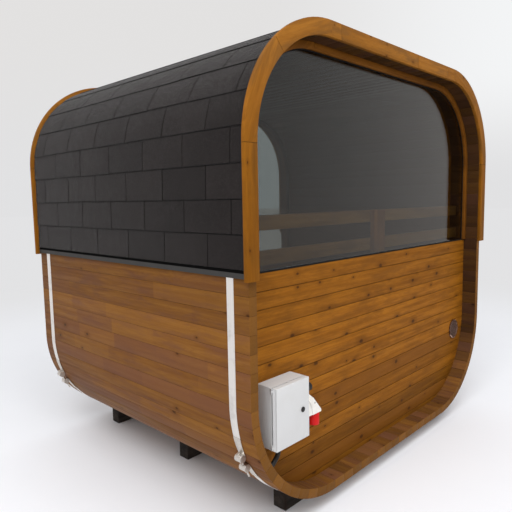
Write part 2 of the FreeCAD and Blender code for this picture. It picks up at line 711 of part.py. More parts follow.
def door_end():
    front = half_length - dim("end_recess") - dim("end_wall_thickness")
    depth = dim("end_wall_thickness")
    edge = half_width - dim("door_side_width")
    half_door = edge - dim("frame_width")
    sill = dim("side_sill_height")
    base = dim("door_base_height")
    head = base + dim("door_height")
    side_panel = [
        Corner(-lower_centre_x, inner_bottom), Corner(-edge - fit, inner_bottom),
        Corner(-edge - fit, sill), Corner(-inner_half, sill),
        Corner(-inner_half, lower_centre_z, inner_lower, 1),
    ]
    keep(plate("door_end_left_wall", [side_panel], front, depth))
    keep(plate("door_end_right_wall", [mirrored(side_panel)], front, depth))
    glass = [
        Corner(-inner_half + fit, sill + fit), Corner(-edge - fit, sill + fit),
        Corner(-edge - fit, inner_top - fit),
        Corner(-upper_centre_x, inner_top - fit, inner_upper - fit, 1),
        Corner(-inner_half + fit, upper_centre_z),
    ]
    glass_front = front + depth - dim("glass_thickness")
    keep(plate("door_end_side_lights", [glass, mirrored(glass)], glass_front, dim("glass_thickness")))
    keep(inner_strip("door_end_trim", as_size(0), dim("trim_width"), sill + fit,
                     front + depth + fit, dim("trim_thickness")))
    post = rectangle(-edge, -half_door, inner_bottom, inner_top)
    keep(plate("door_posts", [post, mirrored(post)], front, depth))
    keep(plate("door_threshold", [rectangle(-half_door + fit, half_door - fit, inner_bottom,
                                            base)], front, depth))
    keep(plate("door_head", [rectangle(-half_door + fit, half_door - fit, head, inner_top)],
               front, depth))
    gap = dim("leaf_gap")
    stile = dim("leaf_stile_width")
    left = -half_door + gap
    bottom = base + gap
    top = head - gap
    outer = rectangle(left, -left, bottom, top)
    inner = rectangle(left + stile, -left - stile, bottom + stile, top - stile)
    leaf_front = front + depth - dim("leaf_thickness")
    keep(plate("door_leaf_frame", [outer, inner], leaf_front, dim("leaf_thickness")))
    pane = rectangle(left + stile + fit, -left - stile - fit, bottom + stile + fit, top - stile - fit)
    pane_front = leaf_front + (dim("leaf_thickness") - dim("leaf_glass_thickness")) / 2
    keep(plate("door_glass", [pane], pane_front, dim("leaf_glass_thickness")))
    face = leaf_front + dim("leaf_thickness")
    handle_x = -left - stile / 2
    middle = (bottom + top) / 2
    bar = dim("handle_bar")
    reach = dim("handle_reach")
    half_grip = dim("handle_length") / 2
    leg_end = half_grip - dim("handle_leg_inset")
    legs = [block("handle_leg_%d" % number, (handle_x - bar / 2, face + fit, low),
                  (handle_x + bar / 2, face + reach, low + bar))
            for number, low in enumerate((middle - leg_end, middle + leg_end - bar))]
    grip = block("handle_grip", (handle_x - bar / 2, face + reach - bar, middle - half_grip),
                 (handle_x + bar / 2, face + reach, middle + half_grip))
    keep(joined("door_handle", legs + [grip]))
    barrel = dim("door_hinge_diameter")
    length = dim("door_hinge_length")
    inset = dim("door_hinge_inset")
    hinges = [rod("door_hinge_%d" % number, (left - gap / 2, face + barrel / 2 + fit, low), barrel,
                  length, (0, 0, 1))
              for number, low in enumerate((bottom + inset, top - inset - length))]
    keep(set_apart("door_hinges", hinges))


# Electric supply box with a hinged door, its inlet and its conduit

box_left = dim("box_from_side") - half_width
box_right = box_left + dim("box_width")
box_top = dim("box_bottom") + dim("box_height")
box_back = wall_front - fit
box_front = box_back - dim("box_depth")
door_back = box_front + dim("box_door_depth")
body_front = door_back + dim("box_seam")
box_middle_y = (body_front + box_back) / 2
hinge_x = box_left - dim("hinge_barrel") / 2 - dim("hinge_clearance")
hinge_y = door_back + dim("box_seam") / 2
hinge_bottoms = (dim("box_bottom") + dim("hinge_inset"),
                 box_top - dim("hinge_inset") - dim("hinge_length"))


def supply_box():
    bottom = dim("box_bottom")
    skin = dim("box_wall")
    barrel = dim("hinge_barrel")
    third = dim("hinge_length") / 3
    leaf = dim("hinge_leaf")
    half_leaf = dim("hinge_leaf_thickness") / 2
    shell = block("box_shell", (box_left, body_front, bottom), (box_right, box_back, box_top))
    room = block("box_room", (box_left + skin, body_front - fit, bottom + skin),
                 (box_right - skin, box_back - skin, box_top - skin))
    fixed = [cut_out("box_hollow", shell, room)]
    lid = block("box_lid", (box_left, box_front, bottom), (box_right, door_back, box_top))
    lid_room = block("box_lid_room", (box_left + skin, box_front + skin, bottom + skin),
                     (box_right - skin, door_back + fit, box_top - skin))
    moving = [cut_out("box_tray", lid, lid_room)]
    bores = []
    for number, level in enumerate(hinge_bottoms):
        for knuckle in (0, 2):
            low = level + third * knuckle
            fixed.append(rod("body_knuckle_%d_%d" % (number, knuckle), (hinge_x, hinge_y, low), barrel,
                             third - fit, (0, 0, 1)))
            fixed.append(block("body_leaf_%d_%d" % (number, knuckle),
                               (hinge_x - half_leaf, hinge_y, low),
                               (box_left + half_leaf, body_front + leaf, low + third - fit)))
        fixed.append(rod("hinge_pin_%d" % number, (hinge_x, hinge_y, level), dim("hinge_pin"),
                         dim("hinge_length") - fit, (0, 0, 1)))
        low = level + third + fit
        height = third - fit * 3
        moving.append(rod("door_knuckle_%d" % number, (hinge_x, hinge_y, low), barrel, height, (0, 0, 1)))
        moving.append(block("door_leaf_%d" % number, (hinge_x - half_leaf, door_back - leaf, low),
                            (box_left + half_leaf, hinge_y, low + height)))
        bores.append(rod("door_bore_%d" % number, (hinge_x, hinge_y, level),
                         dim("hinge_pin") + fit * 2, dim("hinge_length"), (0, 0, 1)))
    keep(joined("supply_box_body", fixed))
    keep(cut_out("supply_box_door", joined("box_door_solid", moving), joined("box_door_bores", bores)))
    keep(rod("supply_box_lock", (box_right - dim("lock_from_edge"), box_front - fit,
                                 (bottom + box_top) / 2), dim("lock_diameter"), dim("lock_height"),
             (0, -1, 0)))
    inset = skin + dim("box_plate_inset")
    plate_back = box_back - skin - fit
    keep(block("supply_box_plate", (box_left + inset, plate_back - dim("box_plate_thickness"),
                                    bottom + inset), (box_right - inset, plate_back, box_top - inset)))


def inlet():
    """Slanted housing on the box's side with a collar that opens downwards, and a gland above it."""
    start = box_right + fit
    middle_y = body_front + dim("inlet_edge") + dim("inlet_neck_width") / 2
    base = dim("inlet_base_height")
    tip = box_right + dim("inlet_reach")
    shoulder_x = box_right + dim("inlet_shoulder_reach")
    shoulder_z = base + dim("inlet_shoulder_rise")
    neck = [
        Corner(start, base), Corner(tip, base), Corner(tip, base + dim("inlet_lip")),
        Corner(shoulder_x, shoulder_z),
        Corner(box_right + dim("inlet_neck_reach"), base + dim("inlet_neck_rise")),
        Corner(start, base + dim("inlet_neck_rise")),
    ]
    cheek = [
        Corner(tip - dim("inlet_flange"), base), Corner(tip, base),
        Corner(tip, base + dim("inlet_lip")), Corner(shoulder_x, shoulder_z),
        Corner(box_right + dim("inlet_cheek_reach"), base + dim("inlet_cheek_rise"),
               dim("inlet_cheek_radius"), -1),
    ]
    bodies = [plate("inlet_" + name, [outline], middle_y - dim(width) / 2, dim(width))
              for name, outline, width in (("neck", neck, "inlet_neck_width"),
                                           ("cheeks", cheek, "inlet_width"))]
    keep(joined("inlet_housing", bodies))
    centre_x = tip - dim("inlet_collar_inset")
    diameter = dim("inlet_collar_diameter")
    length = dim("inlet_collar_length")
    ring = rod("inlet_ring", (centre_x, middle_y, base - fit - length), diameter, length, (0, 0, 1))
    bore = rod("inlet_bore", (centre_x, middle_y, base - fit - length - fit),
               diameter - dim("inlet_wall") * 2, length - dim("inlet_floor") + fit, (0, 0, 1))
    keep(cut_out("inlet_collar", ring, bore))
    gland = (start, middle_y, dim("gland_height"))
    keep(joined("inlet_gland", [
        rod("gland_nut", gland, dim("gland_nut"), dim("gland_nut_length"), (1, 0, 0)),
        rod("gland_cap", gland, dim("gland_cap"), dim("gland_reach"), (1, 0, 0)),
    ]))


def conduit():
    """Bent tube from the bottom of the box that meets the rounded corner of the shell squarely."""
    x = (box_left + dim("conduit_from_left")).number
    y = box_middle_y.number
    top = dim("box_bottom").number - fit.number
    low = top - dim("conduit_drop").number
    bend = dim("conduit_bend").number
    reach = lower_centre_x.number + x - bend
    fall = lower_centre_z.number - low
    centre_distance = math.hypot(reach, fall)
    slope = math.atan2(fall, -reach) + math.asin(bend / centre_distance)
    turn = math.pi / 2 - slope

    def on_slope(radius):
        return FreeCAD.Vector(-lower_centre_x.number - radius * math.cos(slope), y,
                              lower_centre_z.number - radius * math.sin(slope))

    bend_start = FreeCAD.Vector(x, y, low)
    bend_middle = FreeCAD.Vector(x - bend * (1 - math.cos(turn / 2)), y, low - bend * math.sin(turn / 2))
    bend_end = on_slope(math.sqrt(centre_distance * centre_distance - bend * bend))
    path = Part.Wire([
        Part.makeLine(FreeCAD.Vector(x, y, top), bend_start),
        Part.Arc(bend_start, bend_middle, bend_end).toShape(),
        Part.makeLine(bend_end, on_slope((lower_radius - wall - fit).number)),
    ])
    section = Part.Wire(Part.makeCircle(dim("conduit_diameter").number / 2, FreeCAD.Vector(x, y, top),
                                        FreeCAD.Vector(0, 0, -1)))
    feature = doc.addObject("Part::Feature", "supply_conduit")
    feature.Shape = path.makePipeShell([section], True, True)
    keep(feature)


# Backrest that shows through the window: a post on the wall and two rails across

def backrest():
    post_front = wall_back + fit
    rail_front = post_front + dim("post_thickness") + fit
    upper = dim("sill_height") + dim("upper_rail_from_sill")
    lower = dim("sill_height") + dim("lower_rail_from_sill")
    top = upper + dim("rail_height")
    half = dim("post_width") / 2
    keep(block("backrest_post", (dim("post_x") - half, post_front, lower - dim("post_drop")),
               (dim("post_x") + half, post_front + dim("post_thickness"), top)))
    rails = [block("rail_%d" % number, (-inner_half + fit, rail_front, level),
                   (inner_half - fit, rail_front + dim("rail_thickness"), level + dim("rail_height")))
             for number, level in enumerate((lower, upper))]
    keep(set_apart("backrest_rails", rails))


shell_of_staves()
bearers()
band_y = half_length - dim("band_inset")
band("front_band", -band_y)
band("rear_band", band_y)
tensioners("front_tensioners", -band_y)
tensioners("rear_tensioners", band_y)
roof_cover()
eaves_flashing()
fascia("window_end", -half_length - dim("fascia_thickness") - fit)
fascia("door_end", half_length + fit)
window_end()
vent()
door_end()
supply_box()
inlet()
conduit()
backrest()

doc.recompute()

faults = []
for thing in doc.Objects:
    if "Invalid" in thing.State or "Error" in thing.State:
        faults.append("%s is %s" % (thing.Name, thing.State))
for piece in subparts:
    if piece.Shape.isNull() or not piece.Shape.isValid() or not piece.Shape.Solids:
        faults.append("%s has no valid solid" % piece.Label)
if faults:
    raise RuntimeError("; ".join(faults))

os.makedirs("parts", exist_ok=True)
whole = FreeCAD.BoundBox()
for piece in subparts:
    piece.Shape.exportStep("parts/%s.step" % piece.Label)
    whole.add(piece.Shape.BoundBox)
    print("%-28s %2d solids %12.0f mm3" % (piece.Label, len(piece.Shape.Solids), piece.Shape.Volume))
print("%d sub-parts, %s" % (len(subparts), whole))
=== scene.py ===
# %% [markdown]
# # Outdoor sauna cabin
# A garden sauna whose section is a square with big round corners. Rows of long staves make the
# shell, two steel bands pull them together, shingles cover the upper half, and a curved timber
# fascia frames each end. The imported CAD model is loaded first. It gives every piece its place, and
# this lesson dresses it: boards, shingles, joints, fittings and the finish of every surface.

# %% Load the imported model
import math
import random

import bmesh
import bpy
from mathutils import Matrix, Vector


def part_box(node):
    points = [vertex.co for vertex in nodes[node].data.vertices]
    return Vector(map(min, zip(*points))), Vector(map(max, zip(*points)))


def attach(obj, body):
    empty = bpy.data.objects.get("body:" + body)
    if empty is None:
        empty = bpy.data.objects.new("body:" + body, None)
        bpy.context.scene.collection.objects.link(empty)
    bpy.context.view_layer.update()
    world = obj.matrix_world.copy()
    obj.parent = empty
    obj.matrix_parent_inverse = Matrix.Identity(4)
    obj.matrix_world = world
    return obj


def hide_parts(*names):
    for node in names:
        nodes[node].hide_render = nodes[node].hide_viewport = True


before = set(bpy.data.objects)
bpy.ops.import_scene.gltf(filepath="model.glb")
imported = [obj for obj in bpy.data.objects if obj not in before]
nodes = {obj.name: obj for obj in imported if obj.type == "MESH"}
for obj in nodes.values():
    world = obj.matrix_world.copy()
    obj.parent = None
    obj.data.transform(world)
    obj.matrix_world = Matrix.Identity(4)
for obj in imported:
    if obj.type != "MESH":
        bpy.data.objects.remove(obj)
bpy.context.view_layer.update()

# %% [markdown]
# ## The camera
# The photograph was taken from standing height at the corner between the window end and the left
# side. Place, turn and focal length come from fitting the cabin's edges to the photograph, so the
# camera gets a rotation matrix made of its right, up and backward directions.

# %% Camera
camera_place = (-2.63068, -2.36817, 1.51058)
camera_right = Vector((0.69161841, -0.7220395, -0.01797048))
camera_up = Vector((0.09038709, 0.0618401, 0.9939849))
camera_data = bpy.data.cameras.new("photo_camera")
camera_data.sensor_width = 36
camera_data.lens = 36.48
camera_data.clip_start = 0.05
camera_data.clip_end = 200
camera = bpy.data.objects.new("photo_camera", camera_data)
bpy.context.scene.collection.objects.link(camera)
camera_turn = Matrix((camera_right, camera_up, camera_right.cross(camera_up))).transposed()
camera.matrix_world = Matrix.Translation(camera_place) @ camera_turn.to_4x4()
bpy.context.scene.camera = camera
print("camera looks along", [round(-v, 3) for v in camera_turn.col[2]])

# %% [markdown]
# ## Helpers for shaping by hand
# A new piece starts as a primitive of the right size at the right place. It is then shaped in edit
# mode, where faces and edges are picked by where they lie. These few helpers wrap those steps, so
# that each piece below reads like the work on a bench: add a block, pick its edges, ease them.

# %% Shaping helpers
merge_distance = 0.00002


def take_up(piece):
    """Makes one piece the only selected and active one."""
    bpy.ops.object.select_all(action="DESELECT")
    piece.select_set(True)
    bpy.context.view_layer.objects.active = piece


def open_mesh(piece):
    """Takes one piece into edit mode with all of it selected."""
    take_up(piece)
    bpy.ops.object.mode_set(mode="EDIT")
    bpy.ops.mesh.select_all(action="SELECT")


def close_mesh(turn_outward=False):
    """Leaves edit mode, if asked with all faces turned outward."""
    if turn_outward:
        bpy.ops.mesh.select_all(action="SELECT")
        bpy.ops.mesh.normals_make_consistent(inside=False)
    bpy.ops.object.mode_set(mode="OBJECT")


def settle(name):
    """Moves the new piece's place, turn and size into its mesh and names it."""
    bpy.ops.object.transform_apply(location=True, rotation=True, scale=True)
    piece = bpy.context.object
    piece.name = name
    return piece


def block(name, low, high):
    """Rectangular block between two corners."""
    bpy.ops.object.select_all(action="DESELECT")
    size = [b - a for a, b in zip(low, high)]
    middle = [(a + b) / 2 for a, b in zip(low, high)]
    bpy.ops.mesh.primitive_cube_add(size=1, location=middle, scale=size)
    return settle(name)


def bar(name, start, end, radius, sides=24):
    """Round bar between two points."""
    bpy.ops.object.select_all(action="DESELECT")
    start, end = Vector(start), Vector(end)
    turn = (end - start).to_track_quat("Z", "Y").to_euler()
    bpy.ops.mesh.primitive_cylinder_add(vertices=sides, radius=radius, depth=(end - start).length,
                                        location=(start + end) / 2, rotation=turn)
    return settle(name)


def pick(piece, kind, test):
    """In edit mode selects the faces or edges whose middle and direction pass a test."""
    bpy.ops.mesh.select_mode(type=kind)
    bpy.ops.mesh.select_all(action="DESELECT")
    shape = bmesh.from_edit_mesh(piece.data)
    if kind == "FACE":
        picked = [face for face in shape.faces if test(face.calc_center_median(), face.normal)]
    else:
        picked = []
        for edge in shape.edges:
            a, b = (corner.co for corner in edge.verts)
            if test((a + b) / 2, b - a):
                picked.append(edge)
    for part in picked:
        part.select_set(True)
    bmesh.update_edit_mesh(piece.data)
    return len(picked)


def ease(piece, width, segments, test=lambda middle, way: True):
    """Rounds the edges that pass a test, or else all, as a router does along a board."""
    open_mesh(piece)
    if pick(piece, "EDGE", test):
        bpy.ops.mesh.bevel(offset=width, segments=segments, affect="EDGES")
    close_mesh()


def cut_across(piece, length, count):
    """Cuts a flat piece across x into equal steps, so that it can bend."""
    open_mesh(piece)
    for step in range(1, count):
        bpy.ops.mesh.select_all(action="SELECT")
        bpy.ops.mesh.bisect(plane_co=(length * step / count, 0, 0), plane_no=(1, 0, 0))
    close_mesh()


def join(name, parts):
    """Joins pieces into the first one."""
    bpy.ops.object.select_all(action="DESELECT")
    for part in parts:
        part.select_set(True)
    bpy.context.view_layer.objects.active = parts[0]
    if len(parts) > 1:
        bpy.ops.object.join()
    parts[0].name = name
    parts[0].data.name = name
    return parts[0]


def copy_at(piece, matrix):
    """Copy with a mesh of its own, moved there in the mesh."""
    twin = piece.copy()
    twin.data = piece.data.copy()
    twin.data.transform(matrix)
    bpy.context.scene.collection.objects.link(twin)
    return twin


def merged_copy(node):
    """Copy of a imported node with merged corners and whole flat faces, left open in edit mode."""
    piece = copy_at(nodes[node], Matrix())
    open_mesh(piece)
    bpy.ops.mesh.remove_doubles(threshold=merge_distance)
    bpy.ops.mesh.dissolve_limited(angle_limit=math.radians(0.5))
    return piece


def drop(piece):
    bpy.data.objects.remove(piece, do_unlink=True)


def smooth(piece, degrees=35):
    take_up(piece)
    bpy.ops.object.shade_smooth_by_angle(angle=math.radians(degrees))


def set_finish(piece, finish):
    piece.data.materials.clear()
    piece.data.materials.append(finish)


def fit_piece(piece, body, slot, finish, *replaced):
    """Gives a new piece its finish and the body it moves with, and hides the nodes it stands for."""
    set_finish(piece, finish)
    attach(piece, body)
    if replaced:
        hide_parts(*replaced)
    print("%-28s %6d faces" % (piece.name, len(piece.data.polygons)))


def dress(node, finish, width):
    """Keeps a CAD node, gives it a finish, and eases its sharp edges with a live bevel."""
    piece = nodes[node]
    set_finish(piece, finish)
    if width:
        weld = piece.modifiers.new("joined_corners", "WELD")
        weld.merge_threshold = merge_distance
        edge = piece.modifiers.new("eased_edges", "BEVEL")
        edge.width = width
        edge.segments = 2
        edge.limit_method = "ANGLE"
        edge.angle_limit = math.radians(35)
        edge.harden_normals = True


def note_board(piece, number):
    """Gives every point of a board the same number between 0 and 1."""
    old = piece.data.attributes.get("board")
    board = old or piece.data.attributes.new("board", "FLOAT", "POINT")
    board.data.foreach_set("value", [number] * len(piece.data.vertices))


def note_grain(piece, place, number):
    """Stores board coordinates: along the grain, across the face, depth under the face, plus a
    number that makes each board differ. The place function turns a point into these three."""
    points = []
    for vertex in piece.data.vertices:
        points += place(vertex.co)
    grain = piece.data.attributes.new("grain", "FLOAT_VECTOR", "POINT")
    grain.data.foreach_set("vector", points)
    note_board(piece, number)


def turned(degrees, x=0.0, z=0.0):
    """Turn about the staves' direction, then a move: 0 is the left wall, 90 the roof."""
    return Matrix.Translation((x, 0, z)) @ Matrix.Rotation(math.radians(degrees), 4, "Y")


# %% [markdown]
# ## Colours and shader groups
# The finishes share a few effects. Softwood needs long streaks, fine fibres and small dark knots.
# Paint, steel and felt need grains and smudges. Each effect is a node group with named inputs, so a
# material only wires it to its own colours. The groups give out plain masks and values.

# %% Colour and node helpers
def paint(red, green, blue):
    """Colour as a screen shows it, from 0 to 255, turned into linear light."""
    def linear(value):
        value /= 255
        return value / 12.92 if value <= 0.04045 else ((value + 0.055) / 1.055) ** 2.4
    return (linear(red), linear(green), linear(blue), 1.0)


class Wiring:
    """Short way to add nodes to a tree and connect them. A socket is given by its name, with _ for
    each space, or by its number after an i."""

    def __init__(self, tree):
        self.tree = tree

    def add(self, kind, settings=None, **sockets):
        node = self.tree.nodes.new(kind)
        for name, value in (settings or {}).items():
            setattr(node, name, value)
        for name, value in sockets.items():
            self.feed(node.inputs[int(name[1:]) if name[1:].isdigit() else name.replace("_", " ")], value)
        return node

    def feed(self, socket, value):
        if isinstance(value, bpy.types.NodeSocket):
            self.tree.links.new(value, socket)
        else:
            socket.default_value = value

    def math(self, operation, first, second=0.0):
        return self.add("ShaderNodeMath", {"operation": operation}, i0=first, i1=second).outputs[0]

    def times(self, first, second):
        return self.math("MULTIPLY", first, second)

    def vector(self, operation, first, second):
        return self.add("ShaderNodeVectorMath", {"operation": operation}, i0=first, i1=second).outputs[0]

    def scale(self, vector, factors):
        return self.vector("MULTIPLY", vector, factors)

    def shade(self, colour, level):
        """Colour made darker or lighter by one factor."""
        return self.add("ShaderNodeVectorMath", {"operation": "SCALE"}, i0=colour, Scale=level).outputs[0]

    def length(self, vector):
        return self.add("ShaderNodeVectorMath", {"operation": "LENGTH"}, i0=vector).outputs["Value"]

    def parts(self, vector):
        return self.add("ShaderNodeSeparateXYZ", None, Vector=vector).outputs

    def spot(self):
        """Place of the shaded point on its piece."""
        return self.add("ShaderNodeTexCoord").outputs["Object"]

    def stored(self, name, output):
        """What the mesh stores under a name."""
        return self.add("ShaderNodeAttribute", {"attribute_name": name}).outputs[output]

    def draw(self, seed):
        """Random number from 0 to 1 that a seed always gives."""
        return self.add("ShaderNodeTexWhiteNoise", {"noise_dimensions": "1D"}, W=seed).outputs["Value"]

    def noise(self, vector, scale, detail=2.0, rough=0.5):
        return self.add("ShaderNodeTexNoise", {"noise_dimensions": "3D"}, Vector=vector, Scale=scale,
                        Detail=detail, Roughness=rough).outputs["Fac"]

    def span(self, value, low, high, start=0.0, end=1.0):
        """Smooth step of a value from one range to another."""
        return self.add("ShaderNodeMapRange", {"interpolation_type": "SMOOTHSTEP"}, Value=value,
                        From_Min=low, From_Max=high, To_Min=start, To_Max=end).outputs[0]

    def line(self, value, start, end):
        """Even change from one level at 0 to another at 1."""
        return self.add("ShaderNodeMapRange", None, Value=value, To_Min=start, To_Max=end).outputs[0]

    def between(self, factor, first, second):
        return self.add("ShaderNodeMix", {"data_type": "FLOAT"}, i0=factor, i2=first, i3=second).outputs[0]

    def mix(self, factor, first, second, blend="MIX"):
        """Blend of two colours."""
        settings = {"data_type": "RGBA", "blend_type": blend}
        return self.add("ShaderNodeMix", settings, i0=factor, i6=first, i7=second).outputs[2]

    def show(self, factor, first, second, output="Material Output"):
        """Sends a blend of two shaders to the output."""
        blend = self.add("ShaderNodeMixShader", None, i0=factor, i1=first.outputs[0], i2=second.outputs[0])
        self.feed(self.tree.nodes[output].inputs["Surface"], blend.outputs[0])


def new_group(name, inputs, outputs):
    """Empty shader group with named number and vector inputs and number outputs."""
    tree = bpy.data.node_groups.new(name, "ShaderNodeTree")
    for label, kind, value in inputs:
        socket = tree.interface.new_socket(label, in_out="INPUT", socket_type=kind)
        if value is not None:
            socket.default_value = value
    for label in outputs:
        tree.interface.new_socket(label, in_out="OUTPUT", socket_type="NodeSocketFloat")
    return tree, tree.nodes.new("NodeGroupInput").outputs, tree.nodes.new("NodeGroupOutput").inputs


def use_group(wires, tree, **sockets):
    return wires.add("ShaderNodeGroup", {"node_tree": tree}, **sockets).outputs


def new_finish(name):
    """Material with a Principled shader; returns it with its wiring and the shader."""
    finish = bpy.data.materials.new(name)
    finish.use_nodes = True
    return finish, Wiring(finish.node_tree), finish.node_tree.nodes["Principled BSDF"]


def set_shader(wires, shader, colour, roughness, **constants):
    """Feeds a shader its colour and roughness and sets its constant sockets."""
    wires.feed(shader.inputs["Base Color"], colour)
    wires.feed(shader.inputs["Roughness"], roughness)
    for name, value in constants.items():
        shader.inputs[name.replace("_", " ")].default_value = value


def relief(wires, shader, height, strength, distance):
    """Bump from a height in the 0 to 1 range."""
    bump = wires.add("ShaderNodeBump", None, Strength=strength, Distance=distance, Height=height)
    wires.feed(shader.inputs["Normal"], bump.outputs[0])


# %% [markdown]
# ### Softwood
# The boards are flat-sawn spruce, heat treated and oiled. Close up that is three things: slow
# streaks where the rings run out of the face, thin darker late-wood lines, and fine fibres. Knots
# are small, dark and longer along the board. They sit at random cells of a Voronoi pattern whose
# distances are turned back into metres, so every knot has a real size.

# %% Softwood group
def make_softwood():
    tree, given, result = new_group("softwood", [
        ("Grain", "NodeSocketVector", None), ("Board", "NodeSocketFloat", 0.5),
        ("Knots per cell", "NodeSocketFloat", 0.5), ("Knot size", "NodeSocketFloat", 0.008),
    ], ["Streak", "Lines", "Fibre", "Cloud", "Knot", "Halo", "Height"])
    w = Wiring(tree)
    offset = w.add("ShaderNodeCombineXYZ", None, X=w.times(given["Board"], 37.0),
                   Y=w.times(given["Board"], 11.3), Z=w.times(given["Board"], 5.1))
    place = w.vector("ADD", given["Grain"], offset.outputs[0])

    cells = (3.6, 13.0, 0.0)
    scaled = w.scale(place, cells)
    spots = w.add("ShaderNodeTexVoronoi", {"voronoi_dimensions": "2D", "feature": "F1"}, Vector=scaled,
                  Scale=1.0, Randomness=0.9)
    away = w.vector("SUBTRACT", scaled, spots.outputs["Position"])
    metres = w.scale(away, (0.62 / cells[0], 1.0 / cells[1], 0.0))
    wobble = w.noise(w.scale(place, (90, 90, 90)), 1.0, 2.0)
    distance = w.times(w.length(metres), w.math("ADD", 0.75, w.times(wobble, 0.5)))
    chance = w.add("ShaderNodeSeparateColor", None, Color=spots.outputs["Color"]).outputs
    there = w.math("LESS_THAN", chance[0], given["Knots per cell"])
    radius = w.times(given["Knot size"], w.math("ADD", 0.35, w.times(chance[1], 0.75)))
    ratio = w.math("DIVIDE", distance, radius)
    knot = w.times(there, w.span(ratio, 0.40, 1.3, 1.0, 0.0))
    halo = w.times(there, w.span(ratio, 0.9, 4.2, 1.0, 0.0))

    slow = w.noise(w.scale(place, (1.3, 9.0, 9.0)), 1.0, 3.0, 0.5)
    figure = w.math("ADD", slow, w.times(halo, 0.12))
    rings = w.math("SINE", w.times(figure, 130.0))
    lines = w.math("POWER", w.math("ADD", w.times(rings, 0.5), 0.5), 2.5)
    streak = w.noise(w.scale(place, (1.6, 48.0, 48.0)), 1.0, 4.0, 0.65)
    cloud = w.noise(w.scale(place, (4.2, 21.0, 21.0)), 1.0, 4.0, 0.6)
    fibre = w.noise(w.scale(place, (14.0, 420.0, 420.0)), 1.0, 2.0, 0.7)
    height = w.math("ADD", w.times(fibre, 0.5), w.times(lines, 0.35))
    height = w.math("SUBTRACT", height, w.times(knot, 0.5))
    for name, value in (("Streak", streak), ("Lines", lines), ("Fibre", fibre), ("Cloud", cloud),
                        ("Knot", knot), ("Halo", halo), ("Height", height)):
        w.feed(result[name], value)
    return tree


softwood = make_softwood()


def mix_lots(w, tone, place, board, light, aged):
    """A stave is finger-jointed from short lengths, each lighter or more aged than the next."""
    length = w.math("FLOOR", w.math("ADD", w.times(place[0], 2.6), w.times(board, 31.0)))
    lot = w.draw(w.math("ADD", w.times(length, 7.31), w.times(board, 57.0)))
    tone = w.mix(w.span(lot, 0.55, 1.0, 0.0, 0.50), tone, aged)
    return w.mix(w.span(lot, 0.0, 0.4, 0.35, 0.0), tone, light)


def shade_inner_faces_show_ends(w, tone, grain, place, board, draw, light, dark):
    """Paints shade on a stave's inner face: deep shade in the room, and under the fascia more shade on
    faces turned sideways than on faces turned up. Also shows the stave's cut ends.
    """
    facing = w.parts(w.add("ShaderNodeNewGeometry").outputs["True Normal"])
    painted_ring_shade = w.times(w.span(facing[2], 0.1, 0.8, 0.31, 0.76), w.span(draw, 0.1, 0.9, 0.86, 1.16))
    near_end = w.span(w.math("ABSOLUTE", place[0]), 0.80, 0.84)
    inner = w.span(place[2], 0.036, 0.042)
    # Painted shade: the inner face falls to 0.26 in the room and, under the fascia, to a level set by its
    # facing.
    tone = w.shade(tone, w.between(inner, 1.0, w.between(near_end, 0.26, painted_ring_shade)))
    ends = w.math("GREATER_THAN", w.math("ABSOLUTE", facing[1]), 0.8)
    arcs = w.noise(w.scale(grain, (0.0, 110.0, 240.0)), 1.0, 3.0, 0.55)
    cut_tone = w.shade(w.mix(w.span(arcs, 0.3, 0.75, 0.1, 0.4), light, dark), w.line(board, 0.66, 0.95))
    return w.mix(ends, tone, cut_tone)


